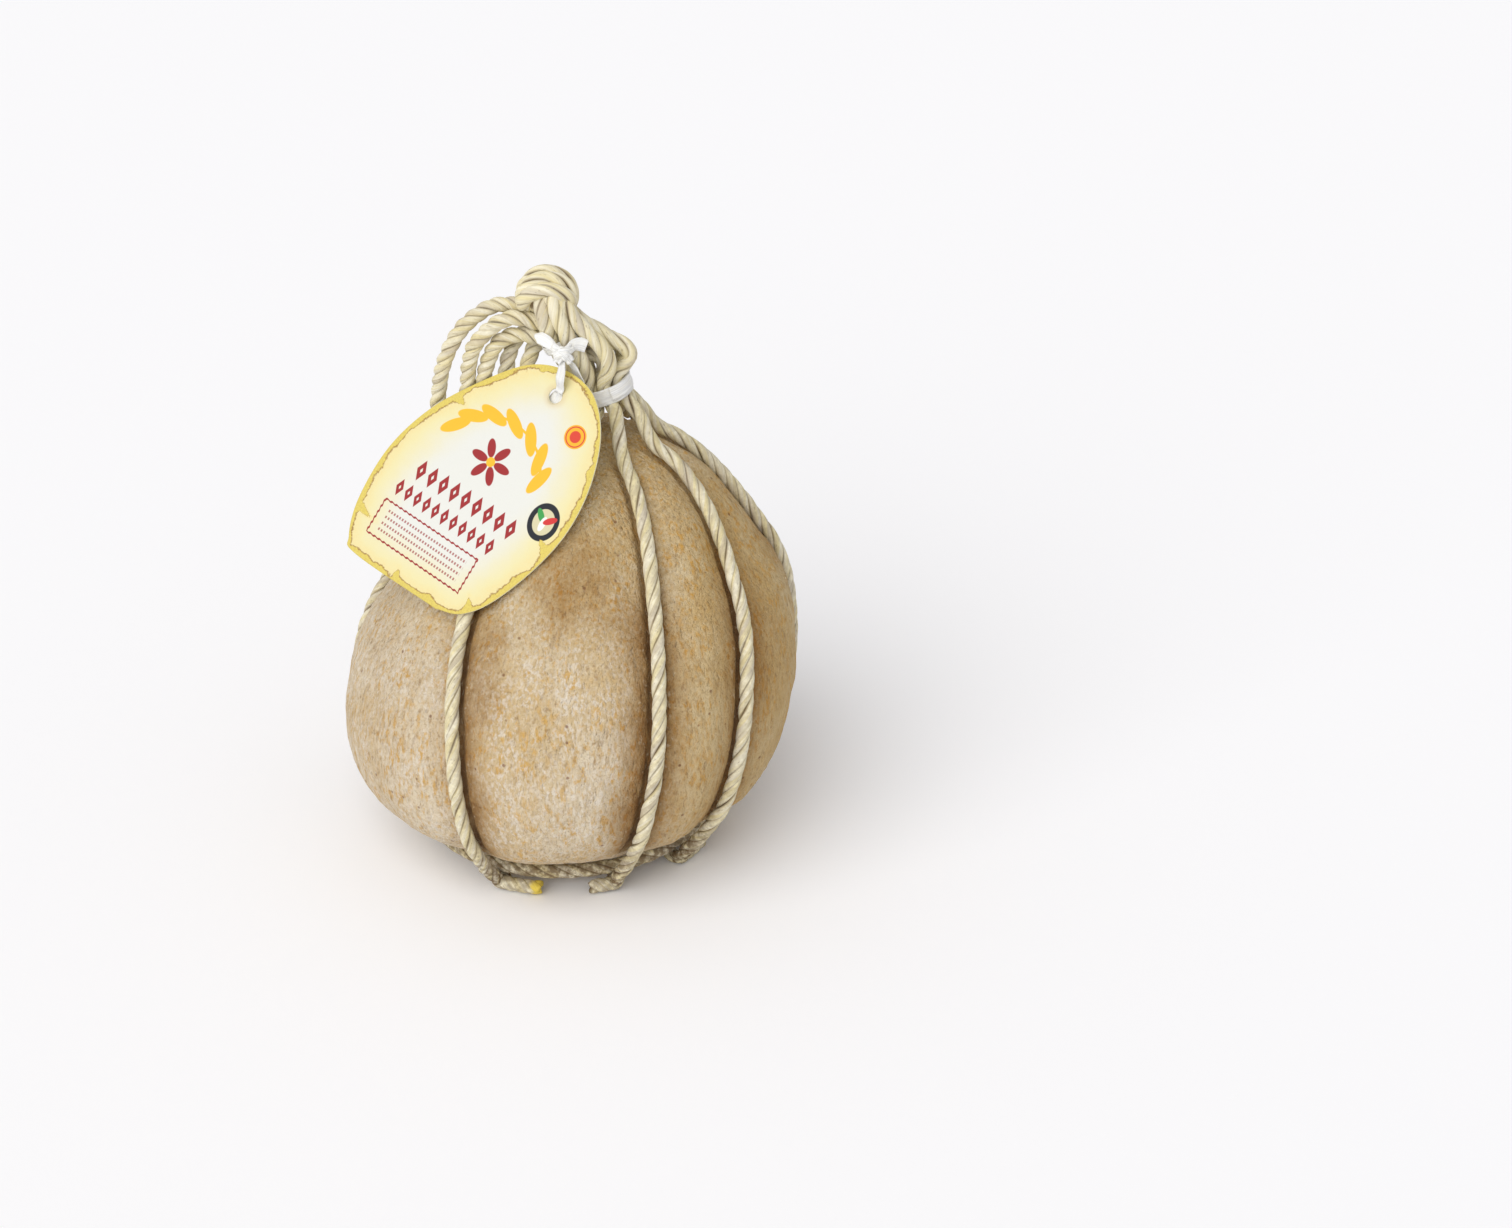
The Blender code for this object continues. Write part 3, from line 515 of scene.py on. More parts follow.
def painted(tree, colour, distance, edge, ink, soft=0.12):
    return mixed(tree, between(tree, distance, edge + soft, edge - soft), colour, ink)


def ring_ink(tree, colour, distance, radius, half_width, ink):
    off = maths(tree, "ABSOLUTE", maths(tree, "SUBTRACT", distance, radius))
    return painted(tree, colour, off, half_width, ink)


def gold_spray(tree, uv, colour):
    """A curved spray of large leaves with a stem."""
    middle = (-2.0, 11.0)
    for step in range(7):
        angle = math.radians(14.0 + 25.0 * step)
        centre = (middle[0] + 22.0 * math.cos(angle), middle[1] + 17.0 * math.sin(angle))
        leaf = flat_distance(tree, uv, centre, (0.19, 0.52), angle + math.radians(60.0))
        colour = painted(tree, colour, leaf, 1.25, CARD_GOLD, 0.06)
    stem = flat_distance(tree, uv, middle, (1.0, 22.0 / 17.0))
    upper = node(tree, "ShaderNodeSeparateXYZ", {"Vector": uv}).outputs["Y"]
    off = maths(tree, "ABSOLUTE", maths(tree, "SUBTRACT", stem, 22.0))
    share = maths(tree, "MULTIPLY", between(tree, off, 0.75, 0.5), between(tree, upper, 14.0, 15.0))
    return mixed(tree, share, colour, CARD_GOLD)


def red_bloom(tree, uv, colour):
    """A six-petalled flower under the spray."""
    for step in range(6):
        angle = math.radians(60.0 * step)
        centre = (-2.0 + 5.4 * math.cos(angle), 11.0 + 5.4 * math.sin(angle))
        petal = flat_distance(tree, uv, centre, (0.5, 1.05), angle)
        colour = painted(tree, colour, petal, 1.85, CARD_RED)
    return painted(tree, colour, flat_distance(tree, uv, (-2.0, 11.0)), 1.9, CARD_GOLD)


def lozenge_rows(tree, uv, low, colour):
    """Two rows of upright red lozenges across the middle."""
    for height, half_tall, half_wide, first, last in ((-6.0, 4.4, 2.1, -5, 4), (-15.8, 3.6, 1.7, -7, 4)):
        pitch = half_wide * 2.7
        along = maths(tree, "MODULO", maths(tree, "ADD", low.outputs["X"], 200.0 * pitch), pitch)
        across = maths(tree, "DIVIDE", maths(tree, "ABSOLUTE", maths(tree, "SUBTRACT", along, 0.5 * pitch)), half_wide)
        rise = maths(tree, "ABSOLUTE", maths(tree, "SUBTRACT", low.outputs["Y"], height))
        reach = maths(tree, "ADD", across, maths(tree, "DIVIDE", rise, half_tall))
        shape = maths(tree, "MULTIPLY", between(tree, reach, 1.05, 0.95), between(tree, reach, 0.22, 0.3))
        span = maths(tree, "ABSOLUTE", maths(tree, "SUBTRACT", low.outputs["X"], 0.5 * pitch * (first + last)))
        half = 0.5 * pitch * (last - first)
        shape = maths(tree, "MULTIPLY", shape, between(tree, span, half + 0.05, half - 0.05))
        colour = mixed(tree, shape, colour, CARD_RED)
    return colour


def ruled_panel(tree, uv, low, colour):
    """A wavy-edged red frame round four rules of fine dots."""
    wave = maths(tree, "SINE", maths(tree, "MULTIPLY", maths(tree, "ADD", low.outputs["X"], low.outputs["Y"]), 2.6))
    across = maths(tree, "ABSOLUTE", maths(tree, "SUBTRACT", low.outputs["X"], -9.0))
    rise = maths(tree, "ABSOLUTE", maths(tree, "SUBTRACT", low.outputs["Y"], -29.5))
    box = maths(tree, "MAXIMUM", maths(tree, "SUBTRACT", across, 23.5), maths(tree, "SUBTRACT", rise, 7.2))
    box = maths(tree, "MULTIPLY_ADD", wave, 0.18, box)
    colour = mixed(tree, between(tree, maths(tree, "ABSOLUTE", box), 0.42, 0.2), colour, CARD_RED)
    dash = maths(tree, "SINE", maths(tree, "MULTIPLY", low.outputs["X"], 4.6))
    for height in (-25.6, -28.2, -30.8, -33.4):
        off = maths(tree, "ABSOLUTE", maths(tree, "SUBTRACT", low.outputs["Y"], height))
        rule = maths(tree, "MULTIPLY", between(tree, off, 0.62, 0.38), between(tree, dash, -0.35, 0.15))
        rule = maths(tree, "MULTIPLY", rule, between(tree, across, 20.2, 19.8))
        colour = mixed(tree, maths(tree, "MULTIPLY", rule, 0.8), colour, CARD_RED)
    return colour


def seals(tree, uv, colour):
    """A dark ringed badge with three leaves and a small gold sun."""
    badge = flat_distance(tree, uv, (30.0, 3.0), (1.0, 0.86))
    colour = painted(tree, colour, badge, 6.0, tone(206, 198, 160))
    colour = ring_ink(tree, colour, badge, 5.4, 1.0, tone(10, 16, 28))
    leaves = (
        (27.8, 4.6, 2.4, tone(54, 150, 70)), (30.0, 2.2, 1.57, tone(232, 232, 226)), (32.2, 4.6, 0.74, tone(200, 44, 42)),
    )
    for x, y, turn, ink in leaves:
        colour = painted(tree, colour, flat_distance(tree, uv, (x, y), (0.5, 1.2), turn), 1.5, ink)
    sun = flat_distance(tree, uv, (23.0, 36.0))
    colour = painted(tree, colour, sun, 4.6, tone(236, 172, 34))
    colour = ring_ink(tree, colour, sun, 3.8, 0.25, tone(206, 60, 44))
    return painted(tree, colour, sun, 2.3, tone(208, 60, 40))


def card_finish():
    """The printed face: old-paper card with a scorched rim, a gold leaf spray and plain red rules."""
    made, tree, shader = finish("printed_card")
    uv = own_uv(tree)
    rim = own_value(tree, "rim")
    low = node(tree, "ShaderNodeSeparateXYZ", {"Vector": uv})
    wander = speckle(tree, stretched(tree, uv, (0.09, 0.09, 1.0)), 1.0, 4.0, 0.6)
    ragged = speckle(tree, stretched(tree, uv, (1.1, 1.1, 1.0)), 1.0, 4.0, 0.7)
    burn = maths(tree, "MULTIPLY_ADD", wander, -8.0, rim)
    burn = maths(tree, "ADD", maths(tree, "MULTIPLY_ADD", ragged, -0.9, burn), 2.5)
    paper = speckle(tree, stretched(tree, uv, (1.3, 1.3, 1.0)), 1.0, 5.0, 0.7)
    colour = mixed(tree, between(tree, burn, 1.0, 20.0), CARD_CREAM, CARD_WHITE)
    toasted = maths(tree, "MULTIPLY", between(tree, burn, 0.0, 4.6, 1.0, 0.0), between(tree, ragged, 0.3, 0.62, 0.12, 0.42))
    colour = mixed(tree, toasted, colour, CARD_TOAST)
    colour = mixed(tree, between(tree, paper, 0.5, 0.8, 0.0, 0.16), colour, tone(190, 184, 164))
    colour = gold_spray(tree, uv, colour)
    colour = red_bloom(tree, uv, colour)
    colour = lozenge_rows(tree, uv, low, colour)
    colour = ruled_panel(tree, uv, low, colour)
    colour = seals(tree, uv, colour)
    edge = mixed(tree, between(tree, paper, 0.35, 0.7), CARD_EDGE, CARD_EDGE_DARK)
    colour = mixed(tree, between(tree, burn, 0.2, -0.2), colour, edge)
    scorch = maths(tree, "ABSOLUTE", burn)
    scorched = maths(tree, "MULTIPLY", between(tree, scorch, 0.5, 0.05), between(tree, paper, 0.3, 0.55, 0.15, 0.85))
    colour = mixed(tree, scorched, colour, tone(140, 96, 44))
    hole = flat_distance(tree, uv, TAG_HOLE)
    colour = mixed(tree, between(tree, hole, 6.0, 3.2, 0.0, 0.4), colour, tone(206, 180, 128))
    tree.links.new(colour, shader.inputs["Base Color"])
    shader.inputs["Roughness"].default_value = 0.5
    shader.inputs["Specular IOR Level"].default_value = 0.35
    bumped(tree, shader, paper, 0.00008, 0.4)
    return made


def card_back_finish():
    made, tree, shader = finish("card_back")
    place = object_place(tree)
    paper = speckle(tree, place, 700.0, 4.0, 0.7)
    colour = mixed(tree, between(tree, paper, 0.35, 0.7), tone(238, 232, 200), tone(224, 216, 178))
    tree.links.new(colour, shader.inputs["Base Color"])
    shader.inputs["Roughness"].default_value = 0.7
    bumped(tree, shader, paper, 0.00008, 0.4)
    return made


# ---------------------------------------------------------------- lines

def spline(points, steps=16):
    """A Catmull-Rom curve through the points, as a fine array of points."""
    inner = np.array(points, float)
    knots = np.vstack([2 * inner[0] - inner[1], inner, 2 * inner[-1] - inner[-2]])
    t = np.linspace(0.0, 1.0, steps, endpoint=False)[:, None]
    curve = []
    for a, b, c, d in zip(knots, knots[1:], knots[2:], knots[3:]):
        bend = 2 * a - 5 * b + 4 * c - d
        twist = 3 * b - a - 3 * c + d
        curve.append(0.5 * (2 * b + (c - a) * t + bend * t**2 + twist * t**3))
    return np.vstack([*curve, inner[-1]])


def unit(rows):
    return rows / np.linalg.norm(rows, axis=-1, keepdims=True)


class Line:
    """A line sampled at even steps, with a frame along it that doesn't twist."""

    def __init__(self, points, step=0.9, closed=False):
        points = np.array(points, float)
        runs = np.concatenate([[0.0], np.cumsum(np.linalg.norm(np.diff(points, axis=0), axis=1))])
        self.length = float(runs[-1])
        count = max(8, round(self.length / step)) + 1
        self.run = np.linspace(0.0, self.length, count)
        self.centre = np.column_stack([np.interp(self.run, runs, points[:, axis]) for axis in range(3)])
        if closed:
            ahead = np.roll(self.centre[:-1], -1, axis=0) - np.roll(self.centre[:-1], 1, axis=0)
            self.along = unit(np.vstack([ahead, ahead[:1]]))
        else:
            self.along = unit(np.gradient(self.centre, axis=0))
        first = np.cross(self.along[0], (0.0, 0.0, 1.0))
        if np.linalg.norm(first) < 0.2:
            first = np.cross(self.along[0], (0.0, 1.0, 0.0))
        side = [unit(first)]
        for heading in self.along[1:]:
            carried = side[-1] - heading * np.dot(side[-1], heading)
            side.append(unit(carried))
        self.side = np.array(side)
        self.over = np.cross(self.along, self.side)


# ---------------------------------------------------------------- the cheese's own surface

class Ridge:
    """The outline of the cheese between its ropes, measured from the foot's rim, 0, to the tip, 1."""

    def __init__(self):
        self.line = spline(RIDGE_LINE)
        steps = np.linalg.norm(np.diff(self.line, axis=0), axis=1)
        self.runs = np.concatenate([[0.0], np.cumsum(steps)])
        self.length = float(self.runs[-1])
        self.runs /= self.length
        along = unit(np.gradient(self.line, self.runs, axis=0))
        self.outward = np.column_stack([along[:, 1], -along[:, 0]])

    def at(self, share):
        columns = (self.line[:, 0], self.line[:, 1], self.outward[:, 0], self.outward[:, 1])
        return [np.interp(share, self.runs, column) for column in columns]

    def share_at_height(self, height):
        return float(np.interp(height, self.line[:, 1], self.runs))


RIDGE = Ridge()
LEAN = spline(AXIS_LEAN)
ROPE_NAMES = tuple(NET_AZIMUTHS)
AZIMUTH_CURVES = {
    name: spline(tuple(zip(AZIMUTH_HEIGHTS, azimuths))) for name, azimuths in NET_AZIMUTHS.items()
}


def lean_at(height):
    return np.interp(height, LEAN[:, 0], LEAN[:, 1])


def rope_azimuth(name, height):
    curve = AZIMUTH_CURVES[name]
    return np.radians(np.interp(height, curve[:, 0], curve[:, 1]))


def around(radius, azimuth, height):
    """The point at this radius and azimuth from the cheese's own axis."""
    return np.array([
        lean_at(height) + radius * math.sin(azimuth),
        -radius * math.cos(azimuth),
        height,
    ])


def groove_depth(radius, height):
    rise = np.clip((height - GROOVE_STARTS) / (GROOVE_IS_FULL - GROOVE_STARTS), 0.0, 1.0)
    return GROOVE_DEPTH * rise * rise * (3.0 - 2.0 * rise) * np.minimum(1.0, radius / FULL_GROOVE_RADIUS)


def lumps(place, scale, seed):
    """Soft lumps from -1 to 1, the same on every run."""
    return noise.noise(Vector(place) * scale + Vector((seed, 2.0 * seed, -seed)))


def rind_row(row, columns):
    """One ring of points round the cheese, with the groove value of each, which sets the painted valley shade and the
    grime beside the ropes.
    """
    share = ((row - 1) / (RIND_ROWS - 1)) ** 1.15
    radius, height, out_radius, out_height = (float(value) for value in RIDGE.at(share))
    deep = float(groove_depth(radius, height))
    settled = min(1.0, max(0.0, (height - 3.0) / 14.0))
    places = []
    grooves = []
    for column in range(columns):
        sector, place = divmod(column, RIND_COLUMNS_PER_LOBE)
        first = rope_azimuth(ROPE_NAMES[sector], height)
        second = rope_azimuth(ROPE_NAMES[(sector + 1) % len(ROPE_NAMES)], height)
        width = float(second - first) % math.tau
        share = place / RIND_COLUMNS_PER_LOBE
        share -= 0.5 * math.sin(math.tau * share) / math.tau
        azimuth = first + share * width
        left = radius * share * width
        right = radius * (1.0 - share) * width
        valley = math.exp(-((left / VALLEY_REACH) ** 2)) + math.exp(-((right / VALLEY_REACH) ** 2))
        notch = math.exp(-((left / 3.5) ** 4)) + math.exp(-((right / 3.5) ** 4))
        swell = LOBE_BULGE * math.sin(math.pi * share) * deep / GROOVE_DEPTH
        offset = swell - deep * min(1.0, 0.52 * valley + 0.48 * notch)
        spot = around(radius, azimuth, height)
        soft = 0.9 * lumps(spot, 0.028, 3.1) + 0.5 * lumps(spot, 0.07, 8.3)
        ripple = 0.34 * lumps(spot * (1.0, 1.0, 0.45), 0.22, 5.7) + 0.2 * lumps(spot * (1.0, 1.0, 0.4), 0.6, 1.9)
        nearness = max(valley, 0.0)
        crumple = 0.5 * nearness * lumps(spot, 0.16, 12.4) * (1.0 - 0.8 * min(1.0, notch))
        offset += settled * (soft - 0.9 + ripple + crumple)
        spot[0] += offset * out_radius * math.sin(azimuth)
        spot[1] -= offset * out_radius * math.cos(azimuth)
        spot[2] = max(0.0, spot[2] + offset * out_height)
        places.append((spot * MM).tolist())
        near = min(left, right)
        # Each side's share of the painted valley shade and the grime.
        shade_and_soil = SHADE_AND_SOIL_SIDES.get(ROPE_NAMES[sector], (1.0, 1.0))[0 if left < right else 1]
        grooves.append(shade_and_soil * math.exp(-near / SHADE_AND_GRIME_REACH) * deep / GROOVE_DEPTH)
    return places, grooves


def cheese(rind):
    """A sphere's grid laid over the cheese: its lower pole is the middle of the foot."""
    columns = RIND_COLUMNS_PER_LOBE * len(ROPE_NAMES)
    rows = {row: rind_row(row, columns) for row in range(1, RIND_ROWS)}
    bm = bmesh.new()
    bmesh.ops.create_uvsphere(bm, u_segments=columns, v_segments=RIND_ROWS, radius=1.0)
    groove = bm.verts.layers.float.new("groove")
    tip = RIDGE.at(1.0)
    for vert in bm.verts:
        row = round((0.5 + math.asin(max(-1.0, min(1.0, vert.co.z))) / math.pi) * RIND_ROWS)
        turn = math.atan2(vert.co.y, vert.co.x) % math.tau
        column = round(turn / math.tau * columns) % columns
        if row == 0:
            vert.co = (float(lean_at(0.0)) * MM, 0.0, 0.0)
        elif row == RIND_ROWS:
            vert.co = (float(lean_at(tip[1])) * MM, 0.0, (float(tip[1]) - 1.0) * MM)
        else:
            places, grooves = rows[row]
            vert.co = places[column]
            vert[groove] = grooves[column]
    piece = piece_of("cheese_rind", bm, rind)
    settle(piece, "rind", "cheese")
    return piece


# ---------------------------------------------------------------- making pieces

def piece_of(name, bm, *finishes, smooth=True):
    bmesh.ops.recalc_face_normals(bm, faces=bm.faces)
    mesh = bpy.data.meshes.new(name)
    bm.to_mesh(mesh)
    bm.free()
    for material in finishes:
        mesh.materials.append(material)
    if smooth:
        mesh.shade_smooth()
    piece = bpy.data.objects.new(name, mesh)
    bpy.context.scene.collection.objects.link(piece)
    return piece


def settle(piece, slot, *nodes):
    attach(piece, BODY)
    if nodes:
        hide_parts(*nodes)


def wrapped_grid(bm, places, closed_round=True, closed_along=False, uv_size=(1.0, 1.0), uv_shift=0.0, values=None):
    """A flat grid moved onto the places, rows along by columns round, its edges joined where they meet."""
    rows = len(places)
    columns = len(places[0])
    uv = bm.loops.layers.uv.verify()
    layers = {name: bm.verts.layers.float.get(name) for name in (values or {})}
    made = bmesh.ops.create_grid(bm, x_segments=rows - 1, y_segments=columns - 1, size=1.0, calc_uvs=True)
    faces = set()
    for vert in made["verts"]:
        row = round((vert.co.x + 1.0) / 2.0 * (rows - 1))
        column = round((vert.co.y + 1.0) / 2.0 * (columns - 1))
        vert.co = places[row][column]
        for name, layer in layers.items():
            vert[layer] = values[name][row][column]
        faces.update(vert.link_faces)
    for face in faces:
        for loop in face.loops:
            spot = loop[uv].uv
            loop[uv].uv = (spot.x * uv_size[0] + uv_shift, spot.y * uv_size[1] + uv_shift)
    if closed_round or closed_along:
        bmesh.ops.remove_doubles(bm, verts=made["verts"], dist=1e-7)


def strand(bm, line, phase, offset, thick, wide, sides=16, closed=False, uv_shift=0.0, dirt_and_shade=None, dye=None):
    """One strand laid round the rope's line, with its creases marked for painted shade."""
    turn = np.column_stack([np.cos(phase), np.sin(phase)])
    out = turn[:, :1] * line.side + turn[:, 1:] * line.over
    centre = line.centre + offset[:, None] * out
    if closed:
        ahead = np.roll(centre[:-1], -1, axis=0) - np.roll(centre[:-1], 1, axis=0)
        along = unit(np.vstack([ahead, ahead[:1]]))
    else:
        along = unit(np.gradient(centre, axis=0))
    facing = unit(out - along * np.sum(out * along, axis=1)[:, None])
    beside = np.cross(along, facing)
    angles = np.linspace(0.0, math.tau, sides + 1)
    rise = (thick[:, None] * np.cos(angles))[..., None] * facing[:, None]
    spread = (wide[:, None] * np.sin(angles))[..., None] * beside[:, None]
    places = (centre[:, None] + rise + spread) * MM
    if closed:
        places[-1] = places[0]
    places[:, -1] = places[:, 0]
    # Painted shade: darkening marked where the strand turns in towards its neighbours.
    lean = np.abs((angles + math.pi) % math.tau - math.pi)
    crease = np.clip((lean - math.radians(70.0)) / math.radians(30.0), 0.0, 1.0) ** 1.4
    crease = np.broadcast_to(crease, places.shape[:2])
    dirt_and_shade = np.broadcast_to((np.zeros(len(phase)) if dirt_and_shade is None else dirt_and_shade)[:, None], places.shape[:2])
    dye = np.broadcast_to((np.zeros(len(phase)) if dye is None else dye)[:, None], places.shape[:2])
    values = {"crease": crease.tolist(), "dirt_and_shade": dirt_and_shade.tolist(), "dye": dye.tolist()}
    size = (line.length, 1.0)
    wrapped_grid(bm, places.tolist(), True, closed, size, uv_shift, values)


def rope_mesh():
    bm = bmesh.new()
    for name in ("crease", "dirt_and_shade", "dye"):
        bm.verts.layers.float.new(name)
    bm.loops.layers.uv.new("UVMap")
    return bm


def laid_rope(
    name, line, lay, hemp, seed=1.0, closed=False, dirt_and_shade=None, dye=None, size=1.0, start=0.0, plump=0.0,
):
    """Three strands laid right-handed round the line, uneven, and rounder where the rope is slack."""
    bm = rope_mesh()
    lays = np.broadcast_to(np.asarray(lay, float), line.run.shape)
    steps = np.concatenate([[0.0], np.diff(line.run)])
    phase = start + math.tau * np.cumsum(steps / lays)
    if closed:
        phase *= round(phase[-1] / math.tau) * math.tau / phase[-1]
    ease = np.sin(math.pi * line.run / line.length) if closed else np.ones_like(line.run)
    wobble = np.array([noise.noise(Vector((run * 0.05, seed, 0.5))) for run in line.run]) * ease
    for index in range(3):
        swell = np.array([noise.noise(Vector((run * 0.11, seed, 4.0 + index))) for run in line.run]) * ease
        shift = np.array([noise.noise(Vector((run * 0.07, seed + 9.0, index))) for run in line.run]) * ease
        thick = STRAND_THICK * size * (1.0 + 0.1 * swell)
        wide = (STRAND_WIDE - plump) * size * (1.0 + 0.16 * shift)
        offset = STRAND_OFFSET * size * (1.0 + 0.05 * swell)
        turned = phase + index * math.tau / 3.0 + 0.5 * wobble + 0.32 * shift
        strand(bm, line, turned, offset, thick, wide, 16, closed, 41.0 * index + seed, dirt_and_shade, dye)
    if not closed:
        open_edges = [edge for edge in bm.edges if edge.is_boundary]
        bmesh.ops.holes_fill(bm, edges=open_edges, sides=0)
    return piece_of(name, bm, hemp)


# ---------------------------------------------------------------- the net

def slot_angle(index):
    return math.radians(FIRST_SLOT) + index * math.tau / len(ROPE_NAMES)


def slot_place(index, radius, rise):
    tilt = Matrix.Rotation(BAND_TILT, 3, "Y")
    across = tilt @ Vector((1, 0, 0))
    deep = tilt @ Vector((0, 1, 0))
    up = tilt @ Vector((0, 0, 1))
    angle = slot_angle(index)
    return BAND_CENTRE + radius * (math.sin(angle) * across - math.cos(angle) * deep) + rise * up


def net_route(index, name):
    foot = float(rope_azimuth(name, 0.0))
    route = []
    for angle in HOOK_ANGLES:
        swing = math.radians(angle)
        radius = RING_RADIUS + HOOK_RADIUS * math.sin(swing)
        route.append(around(radius, foot, RING_HEIGHT - HOOK_RADIUS * math.cos(swing)))
    for radius, height in HOOK_EXIT:
        route.append(around(radius, foot, height))
    first = RIDGE.share_at_height(GROOVE_STARTS + 3.0)
    last = RIDGE.share_at_height(TOP_OF_GROOVED_RUN)
    for share in np.linspace(first, last, 16):
        radius, height, out_radius, out_height = (float(value) for value in RIDGE.at(share))
        azimuth = float(rope_azimuth(name, height))
        lift = ROPE_LIFT - float(groove_depth(radius, height))
        outward = np.array([out_radius * math.sin(azimuth), -out_radius * math.cos(azimuth), out_height])
        route.append(around(radius, azimuth, height) + lift * outward)
    low_side = max(0.0, math.sin(slot_angle(index))) ** 3
    spread = GATHER_RADIUS - low_side * LOW_SIDE_DRAW_IN
    route.append(np.array(slot_place(index, spread, -GATHER_DROP - low_side * LOW_SIDE_DROP)))
    for rise in (-SLOT_HALF_LENGTH, 0.0, SLOT_HALF_LENGTH):
        route.append(np.array(slot_place(index, SLOT_RADIUS, rise)))
    route += [np.array(point) for point in ABOVE_BAND[name]]
    return route


def net_ropes(hemp):
    for index, name in enumerate(ROPE_NAMES):
        line = Line(spline(net_route(index, name)))
        height = line.centre[:, 2]
        lay = np.where(height > 194.0, NECK_LAY, BODY_LAY)
        dirt_and_shade = 0.75 * np.clip((34.0 - height) / 26.0, 0.0, 1.0) + 0.24
        dirt_and_shade = np.where(height > 186.0, 0.05, dirt_and_shade)
        size = 1.0 + 0.16 * np.clip((height - 198.0) / 8.0, 0.0, 1.0)
        seed = 2.0 + 1.7 * index
        piece = laid_rope("rope_" + name, line, lay, hemp, seed, dirt_and_shade=dirt_and_shade, size=size, start=0.9 * index)
        settle(piece, "rope", "net_rope_" + name)
    line = Line(spline(NECK_BIGHT))
    piece = laid_rope("neck_bight_rope", line, LOOP_LAY, hemp, 31.0, dirt_and_shade=np.full(line.run.shape, 0.3))
    settle(piece, "rope", "neck_bight")


def base_ring(hemp):
    points = [around(RING_RADIUS, math.tau * step / 180, RING_HEIGHT) for step in range(181)]
    line = Line(points, 1.2, closed=True)
    # The ring rope is darkened all over: partly soil, partly painted shade under the cheese.
    piece = laid_rope("ring_rope", line, BODY_LAY, hemp, 40.0, closed=True, dirt_and_shade=np.full(line.run.shape, 0.85))
    settle(piece, "rope", "base_ring")


def cut_ends(hemp):
    for index, name in enumerate(ROPE_NAMES):
        foot = float(rope_azimuth(name, 0.0))
        start, stop = CUT_ENDS[name]
        angles = np.linspace(0.0, stop, 8)
        points = [around(CUT_END_RADIUS, foot + math.radians(angle), CUT_END_HEIGHT) for angle in angles]
        line = Line(spline(points), 0.6)
        dirt_and_shade = np.full(line.run.shape, 0.55)
        dye = np.clip((line.run - line.length + 3.4) / 1.2, 0.0, 1.0) if name == "front_left" else None
        piece = laid_rope("cut_end_rope_" + name, line, 13.0, hemp, 50.0 + index, dirt_and_shade=dirt_and_shade, dye=dye)
        settle(piece, "rope", "cut_end_" + name)


# ---------------------------------------------------------------- knot and loops

def knot_turn(name, tilt, reach, hemp, seed):
    """A turn of rope arched over the knot from right to left, in a plane tilted up from the front."""
    forward = math.cos(math.radians(tilt))
    upward = math.sin(math.radians(tilt))
    points = []
    for angle in np.linspace(-34.0, 208.0, 72):
        swing = math.radians(angle)
        high = math.sin(swing) * (1.0 if angle % 360.0 < 180.0 else 0.7)
        apart = KNOT_SPREAD * (tilt - 100.0) / 60.0 * math.cos(swing) ** 2
        fall = KNOT_FALL * math.cos(swing) if angle > 90.0 else 0.0
        across = reach[0] * math.cos(swing) + 0.5 * math.sin(2.0 * swing)
        spot = Vector((across, apart - reach[1] * high * forward, reach[2] * high * upward + fall))
        points.append(np.array(KNOT_MIDDLE + spot))
    line = Line(points, 0.5)
    share = line.run / line.length
    lay = 44.0 - 27.0 * np.clip((share - 0.52) / 0.2, 0.0, 1.0)
    return laid_rope(name, line, lay, hemp, seed, size=1.06, start=seed, plump=0.15)


def top_knot(hemp):
    bm = rope_mesh()
    bmesh.ops.create_icosphere(bm, subdivisions=4, radius=1.0 * MM)
    bmesh.ops.scale(bm, vec=KNOT_CORE, verts=bm.verts)
    bmesh.ops.translate(bm, vec=KNOT_MIDDLE * MM, verts=bm.verts)
    # The core, seen only between the turns, is coloured with the darkest brown all over.
    dirt_and_shade = bm.verts.layers.float.get("dirt_and_shade")
    for vert in bm.verts:
        vert[dirt_and_shade] = 0.9
    core = piece_of("knot_core", bm, hemp)
    settle(core, "rope", "top_knot")
    for index, (tilt, *reach) in enumerate(KNOT_TURNS):
        turn = knot_turn(f"knot_turn_{index}", tilt, reach, hemp, 60.0 + 3.7 * index)
        settle(turn, "rope", "top_knot")


def free_rope(name, points, hemp, seed, node_name):
    line = Line(spline(points))
    dirt_and_shade = np.full(line.run.shape, 0.12)
    piece = laid_rope(name, line, LOOP_LAY, hemp, seed, dirt_and_shade=dirt_and_shade, size=1.1, plump=0.3)
    settle(piece, "rope", node_name)


def free_ropes(hemp):
    free_rope("outer_loop_rope", OUTER_LOOP, hemp, 71.0, "hanging_loop_outer")
    free_rope("inner_loop_rope", INNER_LOOP, hemp, 74.0, "hanging_loop_inner")
    free_rope("spare_end_rope", SPARE_END, hemp, 77.0, "spare_rope_end")


# ---------------------------------------------------------------- ribbon

